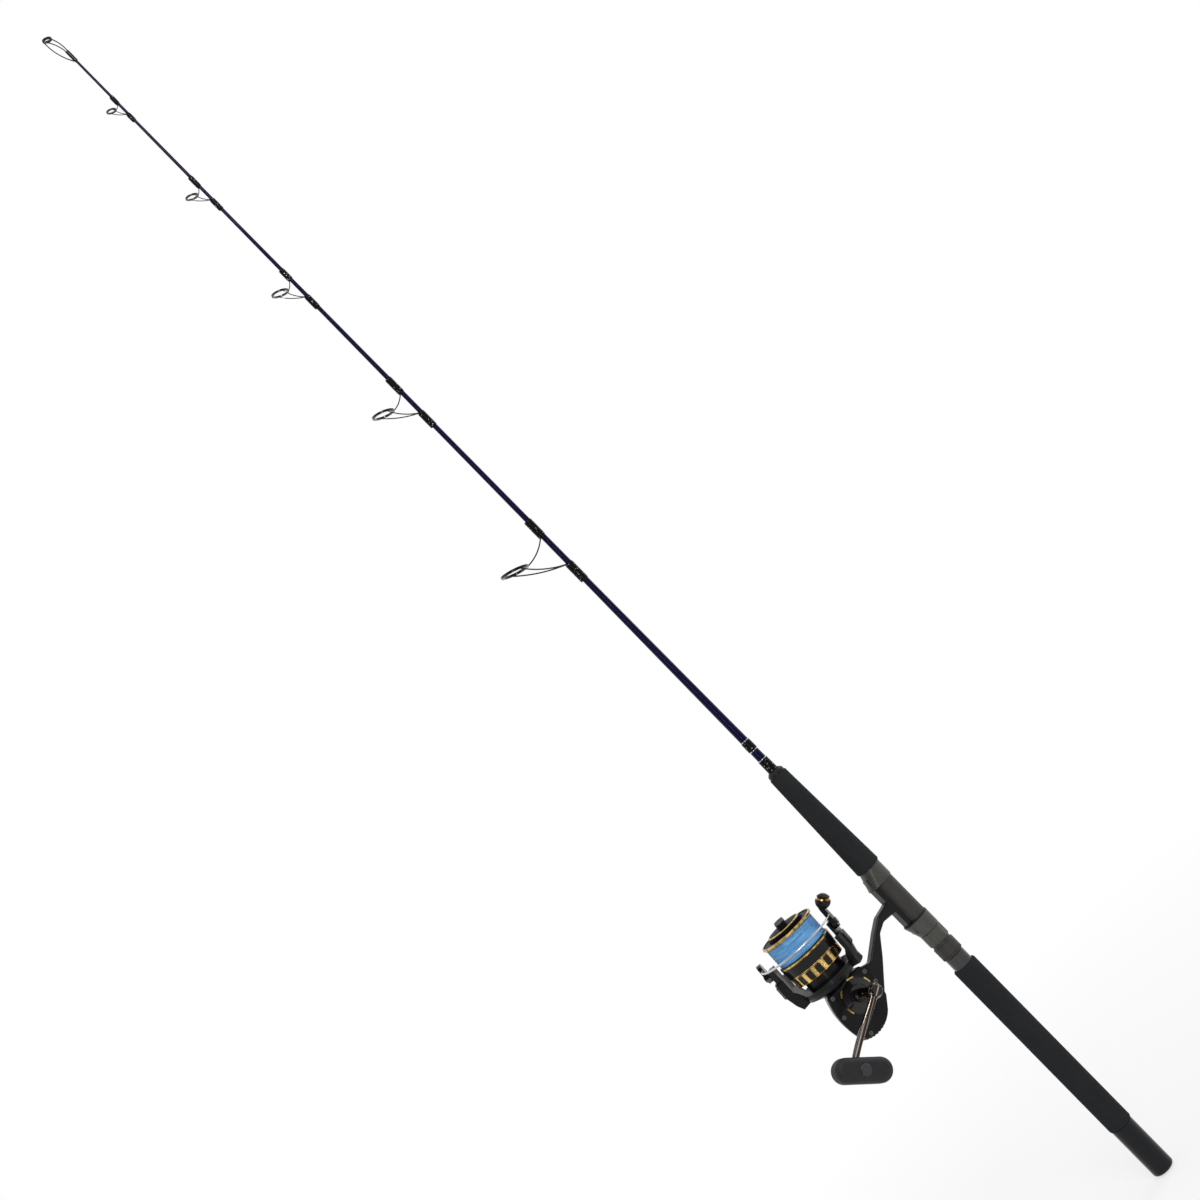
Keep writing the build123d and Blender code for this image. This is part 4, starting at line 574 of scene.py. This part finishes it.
# %% Assign the finishes
WEARS = {
    navy_varnish: "blank",
    thread_varnish: "butt_wraps guide_wraps",
    silver_trim: "trim_bands",
    foam_grip: "rear_grip fore_grip seat_arbors",
    gloss_cap: "butt_cap",
    graphite_seat: "seat_tube lock_nut",
    hood_satin: "hood_nut moving_hood front_hood",
    dark_sleeve: "seat_barrel",
    black_trim: "hood_ring winding_check rear_guard arm_covers roller_pin",
    guide_wire: "guide_frame_1 guide_frame_2 guide_frame_3 guide_frame_4 guide_frame_5 tip_frame",
    ring_ceramic: "guide_rings",
    reel_black: "reel_body rotor bail_lever",
    cover_black: "side_cover",
    reel_gold: "line_roller",
    window_gold: "skirt_ring",
    lip_enamel: "spool_lip",
    spool_enamel: "spool",
    knob_enamel: "drag_knob",
    boss_enamel: "boss_ring",
    turned_steel: "bearings roller_clutch guide_rod main_shaft bail_wire "
                  "drag_washers knob_axle knob_bearings",
    smoked_plate: "bail_holder cover_screws bail_pivots",
    bronze_plate: "handle_hub hub_cap handle_arm",
    cut_brass: "drive_gear pinion cam_gear slider rotor_nut",
    friction_disc: "drag_discs",
    soft_rubber: "handle_knob",
    satin_button: "knob_cap",
    blue_braid: "line_core line_winding",
}
finishes = {}
for make, names in WEARS.items():
    finishes[make.__name__] = make().material
    for name in names.split():
        slots = nodes[name].data.materials
        slots.clear()
        slots.append(finishes[make.__name__])
dressed = sum(len(names.split()) for names in WEARS.values())
print(f"{dressed} of {len(nodes)} solids dressed with {len(finishes)} finishes")

# %% [markdown]
# ## Surfaces from numpy
#
# Some pieces are easier to write as a formula than to model by hand. `skin` turns a grid of points into
# a mesh: neighbouring points make quads, a closed way joins its last row to its first, and each open
# end gets a cap. `lathe` turns a profile round an axis, and `tube` carries a circle along a path. Each
# works on whole arrays, so a long winding takes no longer to write than a ring.

# %% Surface kit
CREASE = math.radians(40.0)


def skin(name, grid, body, wear, ends=True):
    """Mesh of a grid of points: each row closes on itself, and the first and last rows get a cap,
    or meet each other where the piece has no ends."""
    rows, cols = grid.shape[:2]
    index = np.arange(rows * cols).reshape(rows, cols)
    if not ends:
        index = np.concatenate([index, index[:1]])
    index = np.concatenate([index, index[:, :1]], axis=1)
    quads = np.stack([index[:-1, :-1], index[1:, :-1], index[1:, 1:], index[:-1, 1:]], axis=-1)
    faces = quads.reshape(-1, 4).tolist()
    if ends:
        faces += [index[0, :-1].tolist(), index[-1, -2::-1].tolist()]
    mesh = bpy.data.meshes.new(name)
    mesh.from_pydata(grid.reshape(-1, 3).tolist(), [], faces)
    shell = bmesh.new()
    shell.from_mesh(mesh)
    if shell.calc_volume(signed=True) < 0:
        mesh.flip_normals()
    shell.free()
    mesh.shade_smooth()
    mesh.set_sharp_from_angle(angle=CREASE)
    mesh.materials.append(finishes[wear])
    piece = bpy.data.objects.new(name, mesh)
    bpy.context.scene.collection.objects.link(piece)
    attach(piece, body)
    print(f"{name}: {len(mesh.polygons)} faces on {body}")
    return piece


def lathe(profile, origin, axis, start, steps=96):
    """Turn a profile round an axis: each (height, radius) pair becomes a ring of points at
    origin + height * axis + radius * (cos a * start + sin a * side)."""
    height, radius = np.asarray(profile, float).T[..., None, None]
    angle = np.linspace(0.0, 2 * np.pi, steps, endpoint=False)[None, :, None]
    around = np.cos(angle) * start + np.sin(angle) * np.cross(axis, start)
    return origin + height * axis + radius * around


def tube(path, radius, outward, sides=8):
    """Carry a circle along a path: each point gets a ring of points at path + radius *
    (cos a * above + sin a * beside), where beside is square to the path and to outward, and above is
    square to the path and to beside."""
    ahead = np.gradient(path, axis=0)
    ahead /= np.linalg.norm(ahead, axis=1, keepdims=True)
    beside = np.cross(ahead, outward)
    beside /= np.linalg.norm(beside, axis=1, keepdims=True)
    above = np.cross(beside, ahead)
    angle = np.linspace(0.0, 2 * np.pi, sides, endpoint=False)[None, :, None]
    ring = np.cos(angle) * above[:, None] + np.sin(angle) * beside[:, None]
    return path[:, None] + radius * ring


print("surface kit ready")

# %% [markdown]
# ## Line on the spool
#
# Braided line lies on the spool in layers, and the last layer shows as one line going round and round.
# It could be a bump on a cylinder, but from the side the ridges would be missing. So the bed is a lathe
# surface with the ridges of the layer below, and the top layer is one unbroken tube: a tight helix, then
# a few steep turns that cross it, as the oscillating spool lays them.

# %% Line
LINE_LOW, LINE_HIGH = 72.2 * MM, 95.4 * MM
LINE_RADIUS = 0.17 * MM
BED_RADIUS, BED_INSIDE = 29.75 * MM, 20.2 * MM
BED_DROP, BED_ROWS = 0.1 * MM, 300
RIDGE_HEIGHT, RIDGE_PITCH = 0.06 * MM, 2.2 * LINE_RADIUS
TIGHT_TURNS, STEEP_TURNS = 62, 7
TIGHT_STEPS, STEEP_STEPS = 44, 60
# In radii of the line: how high the tight turns lie on the bed, and how much higher the steep ones.
LIE, CLIMB = 0.4, 1.9
CLIMB_TURNS = 0.25
MARGIN = 2 * LINE_RADIUS

height = np.linspace(LINE_LOW, LINE_HIGH, BED_ROWS)
ridge = RIDGE_HEIGHT * np.abs(np.sin(np.pi * (height - LINE_LOW) / RIDGE_PITCH))
bed_profile = np.column_stack([height, BED_RADIUS - BED_DROP + ridge])
inner = np.array([[LINE_HIGH, BED_INSIDE], [LINE_LOW, BED_INSIDE]])
line_bed = skin("line_bed", lathe(np.concatenate([bed_profile, inner]), *SPOOL),
                "spool", "blue_braid", ends=False)
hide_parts("line_core")

all_turns = TIGHT_TURNS + STEEP_TURNS
turn = np.concatenate([np.linspace(0, TIGHT_TURNS, TIGHT_STEPS * TIGHT_TURNS),
                       np.linspace(TIGHT_TURNS, all_turns, STEEP_STEPS * STEEP_TURNS)[1:]])
past = turn - TIGHT_TURNS
share = np.where(turn < TIGHT_TURNS, turn / TIGHT_TURNS, 1 - past / STEEP_TURNS)
lift = BED_RADIUS + LINE_RADIUS * (LIE + CLIMB * np.clip(past / CLIMB_TURNS, 0, 1))
span = LINE_HIGH - LINE_LOW - 2 * MARGIN
way = 2 * np.pi * turn[:, None]
radial = np.cos(way) * TOWARD_ROD + np.sin(way) * SIDEWAYS
path = HUB + (LINE_LOW + MARGIN + span * share)[:, None] * AXLE + lift[:, None] * radial
line_coil = skin("line_coil", tube(path, LINE_RADIUS, radial), "spool", "blue_braid")
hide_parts("line_winding")

# %% [markdown]
# ## The brace of the tip
#
# In the solid, the cut that clears the tip ring's bore also takes the last few millimetres of the wire
# below the ring. A short tube on the same arc as that wire carries it on to the ring.

# %% Tip brace
BRACE_CENTRE = np.array([43.663, 0.0, 1670.034]) * MM
BRACE_BEND, BRACE_WIRE = 55.7 * MM, 0.6 * MM
BRACE_FROM, BRACE_TO = -7.6, 1.6
BRACE_STEPS, BRACE_SIDES = 24, 12
sweep = np.radians(np.linspace(BRACE_FROM, BRACE_TO, BRACE_STEPS))[:, None]
outward = np.concatenate([-np.cos(sweep), 0.0 * sweep, np.sin(sweep)], axis=1)
brace_path = BRACE_CENTRE + BRACE_BEND * outward
skin("tip_brace", tube(brace_path, BRACE_WIRE, outward, BRACE_SIDES), "rod", "guide_wire")

# %% [markdown]
# ## A plain pale studio
#
# The floor is a pale sheet under the butt. A sheet lit by lamps is never quite white, so the lens mostly
# sees it glow with a strength of 1, which is white, and the rest is the lit sheet with the rod's shadow.
# The share of glow grows with the distance, and the far edge melts into the white world behind it.

# %% Floor
FLOOR_HALF, FLOOR_DROP = 30.0, 0.002
NEAR_GLOW, GLOW_PER_METRE = 0.7, 0.3


def flat_sheet(name, middle, across, along):
    """A flat sheet with corners at middle, plus or minus across, plus or minus along."""
    corners = [middle + x * across + y * along for x, y in ((-1, -1), (1, -1), (1, 1), (-1, 1))]
    mesh = bpy.data.meshes.new(name)
    mesh.from_pydata([tuple(corner) for corner in corners], [], [(0, 1, 2, 3)])
    piece = bpy.data.objects.new(name, mesh)
    bpy.context.scene.collection.objects.link(piece)
    return piece


floor = flat_sheet("floor", -FLOOR_DROP * ALONG, *(FLOOR_HALF * np.eye(3)[:2]))
pale = Finish("pale_floor", Roughness=0.9, Specular_IOR_Level=0.1)
pale.paint(Base_Color=pale.shade(pale.noise(3.0), (0.90, 0.90, 0.90), (0.94, 0.94, 0.94)))
reach = pale.vector("LENGTH", pale.place, out="Value")
glow = pale.seen() * pale.math("MINIMUM", NEAR_GLOW + GLOW_PER_METRE * reach, 1.0)
lit = pale.node("ShaderNodeMixShader", None, {
    0: glow,
    1: Flow(pale, pale.surface.outputs[0]),
    2: pale.node("ShaderNodeEmission", None, {"Color": (1.0, 1.0, 1.0, 1.0), "Strength": 1.0})})
pale.feed(pale.tree.nodes["Material Output"].inputs["Surface"], lit)
floor.data.materials.append(pale.material)
print("floor glows", NEAR_GLOW, "at the butt")

# %% [markdown]
# ## A dark card behind the camera
#
# Black paint and dark plating show their shape by what they mirror. In a room that is white all round
# they turn gray. A studio therefore hangs a dark card behind the camera: the faces towards the lens
# mirror the card and stay black, and the edges mirror the white behind the rod. The card is there for
# mirrors alone, so it takes no light from the rod and no lens sees it.

# %% Dark card
CARD_HALF, CARD_AWAY = 4.5, 3.0
card = flat_sheet("dark_card", aim + CARD_AWAY * back, CARD_HALF * right, CARD_HALF * up)
card.visible_camera = card.visible_diffuse = card.visible_shadow = False
felt = Finish("dark_felt", Roughness=0.9, Specular_IOR_Level=0.0)
felt.paint(Base_Color=felt.shade(felt.noise(8.0), (0.020, 0.020, 0.022), (0.035, 0.035, 0.038)))
card.data.materials.append(felt.material)
print("card", 2 * CARD_HALF, "m across")

# %% [markdown]
# ## Lamps and world
#
# Big soft lamps give the broad light of a catalogue picture, and a tall narrow lamp behind the camera
# draws one bright streak down every round part. The world is white to the lens and in mirrors, and a
# gentler fill for everything else.

# %% Lamps and world
# Each lamp's place from the aim, its width and height in metres, and its watts.
LAMPS = {
    "key": (1.9 * back + 1.3 * up - 0.7 * right, 0.8, 0.8, 26.0),
    "fill": (1.6 * back - 0.6 * up + 1.5 * right, 1.0, 1.0, 11.0),
    "rim": (-1.3 * back + 1.5 * up + 0.9 * right, 1.4, 1.4, 12.0),
    "streak": (2.5 * back - 0.2 * ACROSS, 0.14, 2.4, 13.0),
}
for name, (offset, width, tall, watts) in LAMPS.items():
    lamp_data = bpy.data.lights.new(name, "AREA")
    lamp_data.shape = "RECTANGLE"
    lamp_data.size, lamp_data.size_y, lamp_data.energy = width, tall, watts
    lamp = bpy.data.objects.new(name, lamp_data)
    bpy.context.scene.collection.objects.link(lamp)
    away = offset / np.linalg.norm(offset)
    side = np.cross(ALONG, away)
    side /= np.linalg.norm(side)
    stand = np.eye(4)
    stand[:3] = np.column_stack([side, np.cross(away, side), away, aim + offset])
    lamp.matrix_world = Matrix(stand.tolist())

FILL = 0.48
world = bpy.data.worlds.new("studio")
world.use_nodes = True
bpy.context.scene.world = world
sky = Graph(world.node_tree)
backdrop = sky.tree.nodes["Background"]
backdrop.inputs["Color"].default_value = (1.0, 1.0, 1.0, 1.0)
sky.feed(backdrop.inputs["Strength"], FILL + (1 - FILL) * sky.seen())
bpy.context.scene.view_settings.view_transform = "Standard"
print(f"{len(LAMPS)} lamps and a white world")
